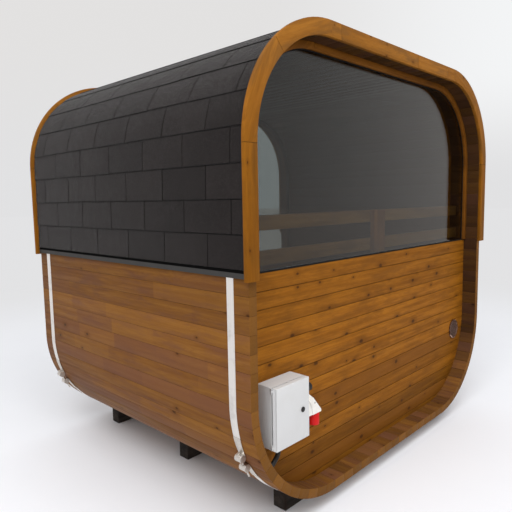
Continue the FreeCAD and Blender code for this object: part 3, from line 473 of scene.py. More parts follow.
def wood_finish(name, light, dark, aged, knots=0.5, knot_size=0.006, axis=None, aged_share=0.15,
                roughness=0.5, board_spread=0.15, is_stave=False, groove=0.85, zone=None, clouds=0.72):
    """Oiled softwood. Boards with stored grain use it; a CAD node names its grain axis, x or z.
    A zone is two heights and a tint: the wood takes the tint from the first height to the second.
    The zones paint the shade and light that change with height."""
    finish, w, shader = new_finish(name)
    if axis is None:
        grain, board = w.stored("grain", "Vector"), w.stored("board", "Fac")
    else:
        turn = (0, math.radians(90) if axis == "z" else 0, 0)
        turned_spot = w.add("ShaderNodeMapping", {"vector_type": "POINT"}, Vector=w.spot(), Rotation=turn)
        grain = turned_spot.outputs[0]
        board = 0.37
    wood = use_group(w, softwood, Grain=grain, Board=board, Knots_per_cell=knots, Knot_size=knot_size)
    tone = w.mix(w.span(wood["Streak"], 0.32, 0.70, 0.0, 0.75), light, dark)
    tone = w.mix(w.times(wood["Lines"], 0.28), tone, dark)
    tone = w.mix(w.span(wood["Fibre"], 0.42, 0.75, 0.0, 0.30), tone, aged)
    tone = w.mix(w.span(wood["Cloud"], 0.43, 0.68, 0.0, clouds), tone, aged)
    tone = w.mix(w.span(wood["Cloud"], 0.46, 0.28, 0.0, 0.40), tone, light)
    # Painted shade and light that change with height.
    if zone is not None:
        first, last, tint = zone
        tinted = w.mix(1.0, tone, tint, "MULTIPLY")
        tone = w.mix(w.span(w.parts(w.spot())[2], first, last), tone, tinted)
    if axis is None:
        place = w.parts(grain)
        draw = w.draw(w.times(board, 91.7))
        tone = w.mix(w.span(draw, 1 - aged_share - 0.05, 1 - aged_share + 0.05, 0.0, 0.8), tone, aged)
        tone = w.shade(tone, w.line(draw, 1 - board_spread, 1 + board_spread))
    if is_stave:
        tone = mix_lots(w, tone, place, board, light, aged)
    tone = w.mix(w.times(wood["Halo"], 0.5), tone, w.mix(0.35, dark, paint(52, 24, 8)))
    tone = w.mix(w.times(wood["Knot"], 0.80), tone, paint(56, 31, 14))
    if axis is None:
        # Painted shade in the eased grooves between boards: the rounded arris darkens with depth under the
        # face.
        wear_and_groove_shade = w.times(w.span(place[2], 0.0004, 0.0020, 0.0, groove),
                       w.span(place[2], 0.004, 0.006, 1.0, 0.0))
        tone = w.mix(wear_and_groove_shade, tone, paint(54, 31, 15))
        # Pieces numbered under 0.03 are the joint fillers, painted shade in the gaps between boards.
        tone = w.mix(w.math("LESS_THAN", board, 0.03), tone, paint(30, 17, 9))
    if is_stave:
        tone = shade_inner_faces_show_ends(w, tone, grain, place, board, draw, light, dark)
    shine = w.span(wood["Streak"], 0.2, 0.8, roughness - 0.06, roughness + 0.12)
    set_shader(w, shader, tone, shine, Specular_IOR_Level=0.06)
    relief(w, shader, wood["Height"], 0.5, 0.0006)
    return finish


# %% [markdown]
# ## The shell of staves
# The shell is many long staves, 45 mm thick and 80 mm wide on the face, with eased edges that make
# the thin dark lines. Each kind of stave, flat or curved to a corner's radius, is made once, then
# copied round the section. The corner staves are a rectangle spun a few degrees about the middle of
# the corner, so their faces follow the round.

# %% Stave finish and templates
# The zone paints the shadow under the eaves: the staves darken from 0.95 m to 1.12 m and stay darker above.
shell_finish = wood_finish("oiled_stave_wood", paint(133, 89, 38), paint(108, 66, 26), paint(105, 68, 47),
                           knots=0.20, knot_size=0.0085, aged_share=0.20, is_stave=True,
                           zone=(0.95, 1.12, (0.80, 0.80, 0.78, 1.0)))

seam = 0.0005
hair = 0.00002
stave_edge = 0.0022
wall_low, wall_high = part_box("left_wall_staves")
roof_low, roof_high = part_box("roof_staves")
floor_low, floor_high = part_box("floor_staves")
half_width = -wall_low.x
half_length = wall_high.y
thickness = wall_high.x - wall_low.x
shell_top = roof_high.z
shell_bottom = floor_low.z
upper_x, upper_z = roof_high.x + seam, wall_high.z + seam
lower_x, lower_z = floor_high.x + seam, wall_low.z - seam
upper_radius = half_width - upper_x
lower_radius = half_width - lower_x
print("upper corner", [round(v, 4) for v in (upper_x, upper_z, upper_radius)])
print("lower corner", [round(v, 4) for v in (lower_x, lower_z, lower_radius)])


def flat_stave(width):
    """Stave with its outer face at x = 0, its width up z and its length along y."""
    stave = block("stave", (0, -half_length, hair), (thickness, half_length, width - hair))
    ease(stave, stave_edge, 2)
    note_grain(stave, lambda point: (point.y, point.z, point.x), 0.5)
    smooth(stave)
    return stave


def spun_block(name, inner, outer, near, far, first, last, steps):
    """Rectangle between two radii and two depths, spun about the y axis from one angle to another.
    Angle 0 points left and 90 points up."""
    bpy.ops.object.select_all(action="DESELECT")
    bpy.ops.mesh.primitive_plane_add(size=1)
    piece = bpy.context.object
    piece.name = name
    open_mesh(piece)
    bpy.ops.transform.resize(value=(outer - inner, far - near, 1), center_override=(0, 0, 0))
    bpy.ops.transform.translate(value=(-(inner + outer) / 2, (near + far) / 2, 0))
    bpy.ops.mesh.spin(steps=steps, angle=math.radians(last - first), center=(0, 0, 0), axis=(0, -1, 0))
    close_mesh(turn_outward=True)
    piece.data.transform(Matrix.Rotation(math.radians(first), 4, "Y"))
    return piece


def corner_stave(radius, angle):
    """Stave spun about the corner's middle, with all but its cross edges eased."""
    sliver = math.degrees(hair / radius)
    stave = spun_block("corner_stave", radius - thickness, radius, -half_length, half_length,
                       sliver, angle - sliver, 3)

    def on_border(middle, way):
        turn = math.degrees(math.atan2(middle.z, -middle.x))
        if 0.4 < turn < angle - 0.4:
            along_arc = abs(way.normalized().dot(middle.normalized())) < 0.5
            return abs(middle.y) > half_length - 0.001 and along_arc
        return True
    ease(stave, stave_edge, 2, on_border)
    note_grain(stave, lambda point: (point.y, radius * math.atan2(point.z, -point.x),
                                     radius - math.hypot(point.x, point.z)), 0.5)
    smooth(stave)
    return stave


# %% [markdown]
# ### Laying the staves
# Widths come from the photograph: the joints of the left side lie 79.6 mm apart. The lower corners
# take twelve staves and the upper ones eleven. Each stave has its own number between 0 and 1, which
# shifts its grain and sets its tone, and a few of them are the greyer boards that the left side shows.

# %% Staves round the section
stave_pitch = 0.0796
past_corner = 0.008
luck = random.Random(7)


def any_board():
    return luck.uniform(0.05, 0.95)


def lay_staves(node, laid):
    """Copies a template to each place, numbers each copy, and joins them into one piece."""
    copies = []
    for template, place in laid:
        stave = copy_at(template, place)
        note_board(stave, any_board())
        copies.append(stave)
    shell = join(node.replace("staves", "boards"), copies)
    fit_piece(shell, "cabin", "shell_timber", shell_finish, node)


first_joint = lower_z - past_corner
wall_count = int((upper_z - first_joint) / stave_pitch)
filler_width = upper_z - first_joint - wall_count * stave_pitch
wall_template, filler = flat_stave(stave_pitch), flat_stave(filler_width)
for node, side, turn, below in (("left_wall_staves", -1, 0, 0), ("right_wall_staves", 1, 180, stave_pitch)):
    laid = [(wall_template, turned(turn, side * half_width, first_joint + stave_pitch * n + below))
            for n in range(wall_count)]
    laid.append((filler, turned(turn, side * half_width, upper_z if below else upper_z - filler_width)))
    lay_staves(node, laid)

roof_count, floor_count = 16, 15
roof_pitch, floor_pitch = 2 * upper_x / roof_count, 2 * lower_x / floor_count
roof_template, floor_template = flat_stave(roof_pitch), flat_stave(floor_pitch)
lay_staves("roof_staves", [(roof_template, turned(90, -upper_x + roof_pitch * n, shell_top))
                           for n in range(roof_count)])
lay_staves("floor_staves", [(floor_template, turned(270, lower_x - floor_pitch * n, shell_bottom))
                            for n in range(floor_count)])

upper_count, lower_count = 11, 12
upper_angle = 90 / upper_count
upper_template = corner_stave(upper_radius, upper_angle)
lower_start = math.degrees(past_corner / lower_radius)
lower_angle = (90 - lower_start) / lower_count
lower_template = corner_stave(lower_radius, lower_angle)
for node, template, x, z, start, step, count in (
        ("upper_left_corner_staves", upper_template, -upper_x, upper_z, 0, upper_angle, upper_count),
        ("upper_right_corner_staves", upper_template, upper_x, upper_z, 90, upper_angle, upper_count),
        ("lower_left_corner_staves", lower_template, -lower_x, lower_z, -90, lower_angle, lower_count),
        ("lower_right_corner_staves", lower_template, lower_x, lower_z, 180 + lower_start, lower_angle,
         lower_count)):
    lay_staves(node, [(template, turned(start + step * n, x, z)) for n in range(count)])
for template in (wall_template, filler, roof_template, floor_template, upper_template, lower_template):
    drop(template)

# %% [markdown]
# ## The window end wall
# The lower half of the window end is filled with level tongue-and-groove boards, 81 mm wide, cut to
# the round corners and drilled for the vent. The imported wall already has that outline and hole. So a
# copy of it is cut at every joint with a bisect, and the cut edges on the face are eased. Working
# on a copy leaves the CAD mesh alone. The side panels of the door end are made the same way.

# %% Boards cut from a wall
# The zone paints shade at the foot of the wall: the boards grow darker and bluer from 0.42 m down to 0.16 m.
end_finish = wood_finish("oiled_end_boards", paint(152, 95, 22), paint(121, 71, 13), paint(103, 62, 18),
                         knots=0.50, knot_size=0.0125, aged_share=0.16, board_spread=0.21, groove=0.46,
                         clouds=0.50, zone=(0.42, 0.16, (0.74, 0.78, 0.95, 1.0)))
board_pitch = 0.081
board_gap = 0.0007


def board_wall(node, outward):
    """Cuts a copy of a flat wall into level boards and eases the joints on its outer face."""
    low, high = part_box(node)
    face_y = high.y if outward > 0 else low.y
    boards = []
    level = high.z
    while level > low.z + 0.004:
        lower = max(level - board_pitch, low.z - 0.01)
        bottom, top = lower + board_gap, level - board_gap
        board = merged_copy(node)
        for height, inner in ((bottom, True), (top, False)):
            bpy.ops.mesh.select_all(action="SELECT")
            bpy.ops.mesh.bisect(plane_co=(0, 0, height), plane_no=(0, 0, 1), use_fill=True,
                                clear_inner=inner, clear_outer=not inner)
        close_mesh(turn_outward=True)

        def on_joint(middle, way):
            on_cut = min(abs(middle.z - bottom), abs(middle.z - top)) < 0.0003
            return on_cut and abs(middle.y - face_y) < 0.0003 and abs(way.normalized().x) > 0.9
        ease(board, 0.0028, 2, on_joint)
        note_grain(board, lambda point: (point.x, point.z, (face_y - point.y) * outward), any_board())
        boards.append(board)
        level -= board_pitch
    wall = join(node.replace("wall", "boards"), boards)
    smooth(wall, 30)
    fit_piece(wall, "cabin", "end_timber", end_finish, node)


for node, outward in (("window_end_wall", -1), ("door_end_left_wall", 1), ("door_end_right_wall", 1)):
    board_wall(node, outward)

# %% [markdown]
# ## Fascia boards
# A curved board 73 mm wide covers the stave ends and the edge of the shingles at both ends. It is
# sawn from straight planks, so each length keeps straight grain at its own angle and meets the next
# in a thin dark joint. The arcs are spun rectangles, the legs and the top are blocks, and all outer
# edges are rounded over. The same tools make the narrow trim that frames the glass.

# %% Fascia and glass trim
# The zone paints light on the upper fascia: it grows lighter and bluer from 1.58 m up to 2.15 m.
fascia_finish = wood_finish("oiled_fascia_wood", paint(143, 89, 19), paint(116, 68, 10), paint(107, 68, 19),
                            knots=0.60, knot_size=0.0042, aged_share=0.2, board_spread=0.10,
                            zone=(1.58, 2.15, (1.20, 1.30, 2.5, 1.0)))
trim_finish = wood_finish("oiled_trim_wood", paint(124, 76, 22), paint(95, 55, 12), paint(84, 50, 16),
                          knots=0.12, knot_size=0.004)
fascia_edge, trim_edge = 0.003, 0.002
trim_width = 0.034
board_depth = 0.01


def curved_board(name, side, inner, outer, near, far, first, last, edge, number=None):
    """Length of a curved board about an upper corner, with straight grain at its middle angle."""
    board = spun_block(name, inner, outer, near, far, first, last, max(4, round((last - first) / 3.5)))

    def on_rim(middle, way):
        radius = math.hypot(middle.x, middle.z)
        return abs(way.normalized().y) < 0.1 and min(abs(radius - inner), abs(radius - outer)) < 0.0015
    ease(board, edge, 2, on_rim)
    middle = math.radians((first + last) / 2)
    along = Vector((math.sin(middle), 0, math.cos(middle)))
    across = Vector((-math.cos(middle), 0, math.sin(middle)))
    note_grain(board, lambda point: (point.dot(along), point.dot(across), board_depth), number or any_board())
    board.data.transform(Matrix.Translation((side * upper_x, 0, upper_z)))
    return board


def straight_board(name, low, high, edge, grain_axis="x", number=None):
    """Straight board with all its long edges rounded."""
    board = block(name, low, high)
    axis = "xyz".index(grain_axis)
    ease(board, edge, 2, lambda middle, way: abs(way.normalized()[axis]) > 0.9)
    note_grain(board, lambda point: (point[axis], point.z if axis == 0 else point.x, board_depth),
               number or any_board())
    return board


def side_span(side, inner, outer):
    """Left and right end of what lies between two distances from an upper corner's middle."""
    return sorted((side * (upper_x + inner), side * (upper_x + outer)))


def gap_shade_filler(piece):
    """Marks a thin filler between two boards as a dark line of painted shade in the joint's gap."""
    note_grain(piece, lambda point: (0, 0, board_depth), 0.01)
    return piece


def fit_boards(node, boards, finish):
    """Joins boards into the piece that stands for a node."""
    piece = join(node + "_boards", boards)
    smooth(piece)
    fit_piece(piece, "cabin", "fascia_timber", finish, node)


joint_shares = (0, 0.057, 0.633, 0.931, 1)
joint_gap = 0.0020
arc_joint = 48
inset = 0.0012
top_numbers = {-1: 0.31, 1: 0.74}
for end_name in ("window_end", "door_end"):
    leg_low, leg_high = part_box(end_name + "_fascia_left")
    top_low, top_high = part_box(end_name + "_fascia_top")
    near, far = leg_low.y, leg_high.y
    outer = -leg_low.x - upper_x
    inner = outer - (top_high.z - top_low.z)
    joint_angle = math.degrees(joint_gap / outer)
    for side in (-1, 1):
        left, right = side_span(side, inner, outer)
        joint_z = upper_z - joint_gap
        boards = [straight_board("fascia_leg", (left, near, leg_low.z), (right, far, joint_z),
                                 fascia_edge, "z")]
        start, middle, end = (0, arc_joint, 90) if side < 0 else (90, 180 - arc_joint, 180)
        for first, last, shorter in ((start, middle, joint_angle), (middle, end, 0.01)):
            number = top_numbers[side] if 90 in (first, last) else None
            boards.append(curved_board("fascia_arc", side, inner, outer, near, far, first, last - shorter,
                                       fascia_edge, number))
        line = spun_block("arc_joint", inner + inset, outer - inset, near + inset, far - inset,
                          middle - joint_angle, middle, 1)
        line.data.transform(Matrix.Translation((side * upper_x, 0, upper_z)))
        leg_line = block("leg_joint", (left + inset, near + inset, joint_z),
                         (right - inset, far - inset, upper_z))
        boards += [gap_shade_filler(line), gap_shade_filler(leg_line)]
        fit_boards("%s_fascia_%s" % (end_name, "left" if side < 0 else "right"), boards, fascia_finish)
    cuts = [(upper_x - 0.0002) * (2 * share - 1) for share in joint_shares]
    numbers = [top_numbers[-1]] + [None] * (len(cuts) - 3) + [top_numbers[1]]
    gaps = [joint_gap] * (len(cuts) - 2) + [0]
    boards = [straight_board("fascia_top", (start, near, top_low.z), (end - gap, far, top_high.z),
                             fascia_edge, number=number)
              for start, end, gap, number in zip(cuts[:-1], cuts[1:], gaps, numbers)]
    boards += [gap_shade_filler(block("top_joint", (cut - joint_gap, near + inset, top_low.z + inset),
                               (cut, far - inset, top_high.z - inset))) for cut in cuts[1:-1]]
    fit_boards(end_name + "_fascia_top", boards, fascia_finish)

for node in ("window_trim", "door_end_trim"):
    low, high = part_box(node)
    outer = high.x - upper_x
    inner = outer - trim_width
    parts = []
    for side, first in ((-1, 0), (1, 90)):
        left, right = side_span(side, inner, outer)
        parts.append(straight_board("trim_leg", (left, low.y, low.z), (right, high.y, upper_z - 0.001),
                                    trim_edge, "z"))
        parts.append(curved_board("trim_arc", side, inner, outer, low.y, high.y, first, first + 89.9,
                                  trim_edge))
    parts.append(straight_board("trim_top", (-upper_x + 0.001, low.y, upper_z + inner),
                                (upper_x - 0.001, high.y, upper_z + outer), trim_edge))
    fit_boards(node, parts, trim_finish)

# %% [markdown]
# ## Shingles
# The roof felt comes as square-cut tabs, 302 mm wide, laid in courses of 142 mm with every second
# course moved by half a tab. A roofer lays them flat and they bend over the corner. The lesson does
# the same: a tab is one flat block, thicker at its lower edge. Copies are laid out flat, each a
# hair up or down, and their points are then wrapped over the section by length along the surface.

# %% Shingle courses
tab_width, course_height = 0.302, 0.142
first_tab = 0.048
least_tab = 0.012
cover_low, cover_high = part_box("left_roof_shingles")
cover_start = cover_low.z
cover_straight = upper_z - cover_start
cover_bend = upper_radius * math.pi / 2
cover_length = cover_straight + cover_bend + upper_x - 0.001
cover_inner = -half_width - cover_low.x - 0.007
cover_half = half_length - 0.001
print("cover from", round(cover_start, 3), "length", round(cover_length, 3))
print("inner offset", round(cover_inner, 4))


def wrap_cover(piece, side):
    """Bends a flat layout over the shell: x is the way up from the eaves, z the height over it."""
    for corner in piece.data.vertices:
        way, y, rise = corner.co
        if way <= cover_straight:
            x, z = half_width + rise, cover_start + way
        elif way <= cover_straight + cover_bend:
            turn = (way - cover_straight) / upper_radius
            x = upper_x + (upper_radius + rise) * math.cos(turn)
            z = upper_z + (upper_radius + rise) * math.sin(turn)
        else:
            x, z = upper_x - (way - cover_straight - cover_bend), shell_top + rise
        corner.co = (side * x, y, z)


def tab(width):
    """One flat tab: its lower edge at x = 0 and thicker, its upper end a little under the next course."""
    piece = block("tab", (0, -width / 2, cover_inner + 0.0016),
                  (course_height + 0.002, width / 2, cover_inner + 0.0068))
    cut_across(piece, course_height, 4)
    for corner in piece.data.vertices:
        if corner.co.z > cover_inner + 0.005:
            corner.co.z -= 0.0033 * min(1.0, corner.co.x / course_height)
    ease(piece, 0.0009, 1, lambda middle, way: middle.z > cover_inner + 0.003 and
         (middle.x < 0.0001 or abs(abs(middle.y) - width / 2) < 0.0001))
    return piece


def shingle_side(side, finish, node):
    sheet = block("felt", (0.0, -cover_half, cover_inner + 0.0002),
                  (cover_length, cover_half, cover_inner + 0.0017))
    cut_across(sheet, cover_length, 48)
    note_grain(sheet, lambda point: (point.y, point.x, 0.0), 0.0)
    wrap_cover(sheet, side)
    laid = [sheet]
    for course in range(math.ceil(cover_length / course_height)):
        start = course * course_height
        offset = first_tab + tab_width / 2 * ((3 - course) % 2)
        joint = offset - math.ceil((half_length + offset) / tab_width) * tab_width
        while joint < half_length:
            left, right = max(joint, -cover_half), min(joint + tab_width, cover_half)
            joint += tab_width
            if right - left < least_tab:
                continue
            piece = tab(right - left - luck.uniform(0.0030, 0.0048))
            lift = luck.uniform(0.0, 0.0005)
            slip = luck.uniform(-0.0022, 0.0022) if course else 0.0008
            room = min(1.0, (cover_length - start) / (course_height + 0.002))
            piece.data.transform(Matrix.Translation((start + slip, (left + right) / 2, lift)) @
                                 Matrix.Diagonal((room, 1, 1, 1)))
            note_grain(piece, lambda point: (point.y, point.x - start, 0.0), luck.uniform(0.1, 1.0))
            wrap_cover(piece, side)
            laid.append(piece)
    cover = join(node.replace("shingles", "shingle_tabs"), laid)
    open_mesh(cover)
    close_mesh(turn_outward=True)
    smooth(cover, 30)
    fit_piece(cover, "cabin", "roof_felt", finish, node)


# %% [markdown]
# ### Granules
# The felt is bitumen pressed full of crushed slate. Seen near, it is a field of grains one to two
# millimetres across, dark grey with a few lighter and browner ones. Seen from afar it is matt and a
# little cloudy, and each tab differs slightly. A cell pattern gives grains of the true size.

# %% Felt finish
def make_granules():
    tree, given, result = new_group("granules", [
        ("Place", "NodeSocketVector", None), ("Grain size", "NodeSocketFloat", 0.0016),
    ], ["Shade", "Light grains", "Cloud", "Height"])
    w = Wiring(tree)
    density = w.math("DIVIDE", 1.0, given["Grain size"])
    cells = w.add("ShaderNodeTexVoronoi", {"voronoi_dimensions": "3D", "feature": "F1"},
                  Vector=given["Place"], Scale=density, Randomness=1.0)
    shares = w.add("ShaderNodeSeparateColor", None, Color=cells.outputs["Color"]).outputs
    height = w.span(cells.outputs["Distance"], 0.0, 0.7, 1.0, 0.0)
    cloud = w.noise(given["Place"], 6.0, 4.0, 0.6)
    for name, value in (("Shade", shares[0]), ("Light grains", w.math("GREATER_THAN", shares[1], 0.93)),
                        ("Cloud", cloud), ("Height", height)):
        w.feed(result[name], value)
    return tree


granules = make_granules()


def felt_finish(name):
    finish, w, shader = new_finish(name)
    grains = use_group(w, granules, Place=w.spot(), Grain_size=0.0017)
    tone = w.mix(grains["Shade"], paint(22, 19, 19), paint(39, 34, 33))
    tone = w.mix(w.times(grains["Light grains"], 0.3), tone, paint(100, 94, 90))
    tone = w.mix(w.span(grains["Cloud"], 0.35, 0.7, 0.0, 0.30), tone, paint(46, 41, 40))
    board = w.stored("board", "Fac")
    tone = w.mix(w.span(board, 0.0, 1.0, 0.40, 0.0), tone, paint(24, 21, 21))
    # Dark lines at each tab's lower edge, the bare cut bitumen, and at the top of its exposure under the next
    # course, painted shade with a little dust.
    up = w.parts(w.stored("grain", "Vector"))[1]
    edge = w.math("MAXIMUM", w.span(up, 0.0012, 0.0028, 1.0, 0.0), w.span(up, 0.1365, 0.1395, 0.0, 1.0))
    tone = w.mix(w.times(edge, 0.85), tone, paint(12, 11, 11))
    # The sheet under the tabs is near black: bare bitumen, darkened further to paint the shade in the gaps
    # between tabs.
    tone = w.mix(w.math("LESS_THAN", board, 0.05), tone, paint(6, 6, 6))
    set_shader(w, shader, tone, w.span(grains["Shade"], 0.0, 1.0, 0.82, 0.95), Specular_IOR_Level=0.20,
               Sheen_Weight=0.5, Sheen_Roughness=0.13)
    relief(w, shader, grains["Height"], 0.7, 0.0012)
    return finish


roof_finish = felt_finish("slate_felt")
shingle_side(-1, roof_finish, "left_roof_shingles")
shingle_side(1, roof_finish, "right_roof_shingles")

# %% [markdown]
# ### Ridge cap
# Along the ridge lie short pieces of felt, each lapping over the last, so that the cap shows a step
# about every 144 mm. One piece is a flat block tilted a little, made again for each step.

# %% Ridge cap
cap_low, cap_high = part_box("ridge_cap_shingles")
caps = []
cap_count = 13
cap_lap = 0.02
cap_step = 2 * cover_half / cap_count
for number in range(cap_count):
    near = -cover_half + cap_step * number
    length = cap_step + (cap_lap if number < cap_count - 1 else 0.0)
    piece = block("cap", (cap_low.x + 0.001, near, cap_low.z),
                  (cap_high.x - 0.001, near + length, cap_low.z + 0.003))
    for corner in piece.data.vertices:
        if corner.co.y < near + 0.001:
            corner.co.z += 0.0026
    ease(piece, 0.001, 1)
    note_grain(piece, lambda point: (point.x, 0.07, 0.0), luck.uniform(0.1, 1.0))
    caps.append(piece)
cap = join("ridge_cap_tabs", caps)
smooth(cap)
fit_piece(cap, "cabin", "roof_felt", roof_finish, "ridge_cap_shingles")

# %% [markdown]
# ## Steel, paint, plastic and rubber
# The small fittings are of a few plain materials, and each has something that shows near by: steel
# bands have fine rolling lines along them, powder coat has the faint waves called orange peel,
# moulded plastic has a fine etched grain, and rubber is matt and dusty.

# %% Fitting finishes
def steel_finish(name, colour, lines, roughness, streaks=0.25):
    """Rolled steel with fine lines; the line factors stretch the pattern along the piece."""
    finish, w, shader = new_finish(name)
    spot = w.spot()
    fine = w.noise(w.scale(spot, lines), 1.0, 3.0, 0.6)
    smudge = w.noise(spot, 14.0, 3.0, 0.6)
    tone = w.mix(w.span(fine, 0.35, 0.7, 0.0, streaks), colour, paint(120, 118, 116))
    tone = w.mix(w.span(smudge, 0.5, 0.8, 0.0, 0.25), tone, paint(135, 130, 124))
    set_shader(w, shader, tone, w.span(smudge, 0.25, 0.75, roughness - 0.05, roughness + 0.1), Metallic=1.0)
    relief(w, shader, fine, 0.15, 0.0003)
    return finish


def coat_finish(name, colour, soiled, roughness):
    """Powder coat: even colour, faint orange peel, a little dust in soft patches."""
    finish, w, shader = new_finish(name)
    spot = w.spot()
    peel = w.noise(spot, 1 / 0.0016, 2.0, 0.5)
    dust = w.noise(spot, 9.0, 4.0, 0.62)
    set_shader(w, shader, w.mix(w.span(dust, 0.45, 0.8, 0.0, 0.15), colour, soiled),
               w.span(dust, 0.3, 0.8, roughness, roughness + 0.15))
    relief(w, shader, peel, 0.12, 0.0004)
    return finish


def plastic_finish(name, colour, wear_and_groove_shade, roughness, shine=0.5):
    """Moulded plastic with an etched grain of half a millimetre."""
    finish, w, shader = new_finish(name)
    spot = w.spot()
    etched = w.noise(spot, 1900.0, 1.0, 0.5)
    handled = w.noise(spot, 30.0, 3.0, 0.6)
    set_shader(w, shader, w.mix(w.span(handled, 0.45, 0.8, 0.0, 0.4), colour, wear_and_groove_shade),
               w.span(handled, 0.3, 0.75, roughness, roughness + 0.16), Specular_IOR_Level=shine)
    relief(w, shader, etched, 0.10, 0.0002)
    return finish


band_finish = steel_finish("bright_band_steel", paint(255, 255, 254), (900.0, 900.0, 6.0), 0.42, 0.06)
tension_finish = steel_finish("tensioner_steel", paint(238, 235, 230), (300.0, 300.0, 300.0), 0.36)
hinge_finish = steel_finish("hinge_steel", paint(190, 188, 186), (500.0, 500.0, 20.0), 0.32)
box_finish = coat_finish("grey_box_coat", paint(207, 207, 207), paint(186, 182, 176), 0.36)
flashing_finish = coat_finish("dark_eaves_coat", paint(45, 44, 43), paint(60, 57, 54), 0.62)
seal_finish = plastic_finish("black_rubber", paint(24, 24, 25), paint(34, 32, 31), 0.7, 0.15)
lock_finish = plastic_finish("black_lock_plastic", paint(20, 20, 21), paint(42, 42, 42), 0.42)
conduit_finish = plastic_finish("black_conduit", paint(22, 22, 23), paint(48, 45, 42), 0.44)
inlet_finish = plastic_finish("white_inlet", paint(236, 233, 226), paint(205, 200, 190), 0.40)
collar_finish = plastic_finish("red_collar", paint(206, 16, 12), paint(158, 14, 10), 0.42, 0.25)
bearer_finish = wood_finish("black_stained_bearer", paint(46, 42, 39), paint(25, 22, 21), paint(60, 52, 47),
                            axis="x", roughness=0.7)
post_finish = wood_finish("oiled_upright_wood", paint(141, 86, 34), paint(106, 60, 19), paint(97, 57, 23),
                          axis="z", knots=0.2)
rail_finish = wood_finish("oiled_level_wood", paint(138, 96, 41), paint(110, 71, 27), paint(102, 67, 27),
                          axis="x", knots=0.2)

# %% [markdown]
# ### Starter strips
# Under the lowest course of shingles lies a starter strip of bare felt. It shows as a black line over
# the metal drip edge: its near-black colour is the bitumen's own and also painted shade under the
# course. It is one long thin block a side, its edges eased.

# %% Starter strips
# Near black for the bitumen and for painted shade under the lowest course.
strip_finish = plastic_finish("bitumen_and_gap_shade", paint(7, 7, 7), paint(15, 14, 13), 0.8, 0.05)
strip_thickness = 0.004
strip_inner = half_width + cover_inner
for side, name in ((-1, "left"), (1, "right")):
    left, right = sorted((side * strip_inner, side * (strip_inner + strip_thickness)))
    strip = block(name + "_starter_strip", (left, -cover_half, cover_start - 0.014),
                  (right, cover_half, cover_start + 0.012))
    ease(strip, 0.0008, 1)
    fit_piece(strip, "cabin", "roof_felt", strip_finish)

# %% [markdown]
# ### Tinted glass
# The panes are grey sealed units that let a little under half of the light through. Each pane is a
# closed slab, so light crosses two surfaces. Shadow rays and scattered light pass straight through
# with the same tint, which lets daylight into the room without noise.

# %% Glass
def glass_finish(name, pane, per_surface):
    finish, w, shader = new_finish(name)
    haze = w.noise(w.spot(), 5.0, 3.0, 0.6)
    set_shader(w, shader, w.mix(w.span(haze, 0.3, 0.8, 0.0, 0.10), pane, per_surface),
               w.span(haze, 0.3, 0.8, 0.0, 0.02), Transmission_Weight=1.0, IOR=1.5)
    clear = w.add("ShaderNodeBsdfTransparent", None, Color=per_surface)
    light = w.add("ShaderNodeLightPath").outputs
    w.show(w.math("MAXIMUM", light["Is Shadow Ray"], light["Is Diffuse Ray"]), shader, clear)
    return finish


pane_finish = glass_finish("grey_tinted_glass", (0.395, 0.43, 0.425, 1.0), (0.62, 0.65, 0.645, 1.0))

# %% [markdown]
# ## Supply box and bearers
# The box and its door have soft outer edges, and the bearers are planed timbers with worn arrises.
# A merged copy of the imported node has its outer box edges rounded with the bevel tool. The edges
# where door and box meet stay sharp, so the seam between them stays thin.

# %% Rounded copies
def rounded_copy(node, body, slot, finish, width, segments, kept=()):
    """Copy of a node with its outer box edges rounded, but for those at the kept depths."""
    low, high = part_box(node)
    near = 0.0004
    piece = merged_copy(node)
    close_mesh(turn_outward=True)
    piece.name = node + "_rounded"

    def outer(middle, way):
        at_faces = [min(abs(middle[a] - low[a]), abs(middle[a] - high[a])) < near for a in range(3)]
        return sum(at_faces) >= 2 and all(abs(middle.y - depth) > near for depth in kept)
    ease(piece, width, segments, outer)
    smooth(piece)
    fit_piece(piece, body, slot, finish, node)


lid_low, lid_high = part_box("supply_box_door")
tub_low, tub_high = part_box("supply_box_body")
rounded_copy("supply_box_door", "box_door", "box_paint", box_finish, 0.0030, 4, [lid_high.y])
rounded_copy("supply_box_body", "cabin", "box_paint", box_finish, 0.0025, 3, [tub_low.y, tub_high.y])
for node in ("front_bearer", "middle_bearer", "rear_bearer"):
    rounded_copy(node, "cabin", "bearer_timber", bearer_finish, 0.004, 2)

# %% [markdown]
# ### Lid plug and inlet screw
# A round plug fills the lid's lower corner, and one steel screw holds the inlet's cheek. Both are
# short round bars with an eased rim. The middle of each head is an inset pushed back.

# %% Lid plug and inlet screw
def sunk_disc(name, place, radius, height, rim, depth):
    """Round head that faces the front, its middle inset and pushed back."""
    front = place[1] - height
    head = bar(name, place, (place[0], front, place[2]), radius, 32)

    def on_front(middle, way):
        return abs(middle.y - front) < 0.00005
    open_mesh(head)
    pick(head, "FACE", on_front)
    bpy.ops.mesh.inset(thickness=rim)
    bpy.ops.transform.translate(value=(0, depth, 0))
    close_mesh()
    ease(head, 0.0003, 2, on_front)
    smooth(head)
    return head


inlet_low, inlet_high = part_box("inlet_housing")
plug_place = (lid_high.x - 0.020, lid_low.y - 0.0001, lid_low.z + 0.0135)
screw_place = (-0.753, inlet_low.y - 0.0001, 0.556)
plug = sunk_disc("lid_corner_plug", plug_place, 0.0058, 0.0010, 0.0016, 0.0006)
fit_piece(plug, "box_door", "box_paint", box_finish)
screw = sunk_disc("inlet_cheek_screw", screw_place, 0.0042, 0.0012, 0.0012, 0.0007)
fit_piece(screw, "cabin", "fitting_steel", hinge_finish)

# %% [markdown]
# ## Pieces kept as they are
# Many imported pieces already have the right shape, down to the tapered straps of the tensioners. They
# keep it and get a finish, and a live bevel eases the edges that a hand could feel.

